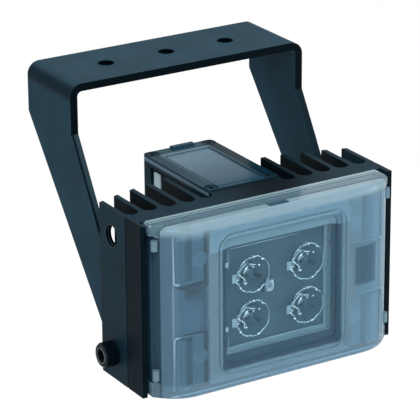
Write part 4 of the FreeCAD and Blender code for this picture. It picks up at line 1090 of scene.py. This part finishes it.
def blend_shaders(tree, share, first, second, out):
    """Runs from one shader to another as a share goes from 0 to 1, and gives the result to an output."""
    mix = tree.nodes.new("ShaderNodeMixShader")
    tree.links.new(share, mix.inputs[0])
    tree.links.new(first.outputs[0], mix.inputs[1])
    tree.links.new(second.outputs[0], mix.inputs[2])
    tree.links.new(mix.outputs[0], out.inputs[0])


def make_world():
    """White backdrop that lights the object a little less than it shows."""
    world = bpy.data.worlds.new("studio")
    bpy.context.scene.world = world
    world.use_nodes = True
    tree = world.node_tree
    tree.nodes.clear()
    out = tree.nodes.new("ShaderNodeOutputWorld")
    dim = tree.nodes.new("ShaderNodeBackground")
    dim.inputs[0].default_value = (*FILL_COLOUR, 1)
    dim.inputs[1].default_value = FILL_STRENGTH
    white = tree.nodes.new("ShaderNodeBackground")
    white.inputs[0].default_value = (1, 1, 1, 1)
    blend_shaders(tree, background_nodes(tree), dim, white, out)


def make_floor():
    """Pale floor that keeps a faint shadow."""
    mesh = bpy.data.meshes.new("floor")
    corners = [(x * FLOOR_HALF, y * FLOOR_HALF, FLOOR_Z) for x, y in ((-1, -1), (1, -1), (1, 1), (-1, 1))]
    mesh.from_pydata(corners, [], [(0, 1, 2, 3)])
    floor = link(bpy.data.objects.new("floor", mesh))
    mat = bpy.data.materials.new("pale_floor")
    mat.use_nodes = True
    tree = mat.node_tree
    tree.nodes.clear()
    out = tree.nodes.new("ShaderNodeOutputMaterial")
    plain = tree.nodes.new("ShaderNodeBsdfDiffuse")
    plain.inputs[0].default_value = (FLOOR_GREY, FLOOR_GREY, FLOOR_GREY, 1)
    glow = tree.nodes.new("ShaderNodeEmission")
    glow.inputs[0].default_value = (1, 1, 1, 1)
    glow.inputs[1].default_value = FLOOR_GLOW
    share = ramp(tree, background_nodes(tree), 0.0, 1.0, 0.0, FLOOR_GLOW_SHARE)
    blend_shaders(tree, share, plain, glow, out)
    mesh.materials.append(mat)


def area_light(name, place, aim, size, power):
    """Rectangular lamp at one place, aimed at another."""
    data = bpy.data.lights.new(name, "AREA")
    data.shape = "RECTANGLE"
    data.size, data.size_y = size
    data.energy = power
    lamp = link(bpy.data.objects.new(name, data))
    lamp.location = place
    lamp.rotation_euler = (Vector(aim) - Vector(place)).to_track_quat("-Z", "Y").to_euler()


def make_camera():
    """Camera at the photograph's angle and distance."""
    back = Vector((math.sin(CAMERA_TURN) * math.cos(CAMERA_RISE),
                   -math.cos(CAMERA_TURN) * math.cos(CAMERA_RISE), math.sin(CAMERA_RISE)))
    level = UP.cross(back).normalized()
    above = back.cross(level)
    right = level * math.cos(CAMERA_ROLL) + above * math.sin(CAMERA_ROLL)
    up = above * math.cos(CAMERA_ROLL) - level * math.sin(CAMERA_ROLL)
    data = bpy.data.cameras.new("camera")
    data.lens = CAMERA_LENS
    data.sensor_width = CAMERA_SENSOR
    data.clip_start = CAMERA_CLIP
    camera = link(bpy.data.objects.new("camera", data))
    camera.matrix_world = Matrix((
        (right.x, up.x, back.x, CAMERA_PLACE.x), (right.y, up.y, back.y, CAMERA_PLACE.y),
        (right.z, up.z, back.z, CAMERA_PLACE.z), (0, 0, 0, 1)))
    bpy.context.scene.camera = camera


make_lens_details()
make_sensor_details()
make_frame_details()
make_cover_details()
make_screw_details()
make_lid_details()
make_board_details()
make_bracket_details()
make_world()
make_floor()
for light in LIGHTS:
    area_light(*light)
make_camera()
bpy.context.scene.view_settings.view_transform = "Standard"
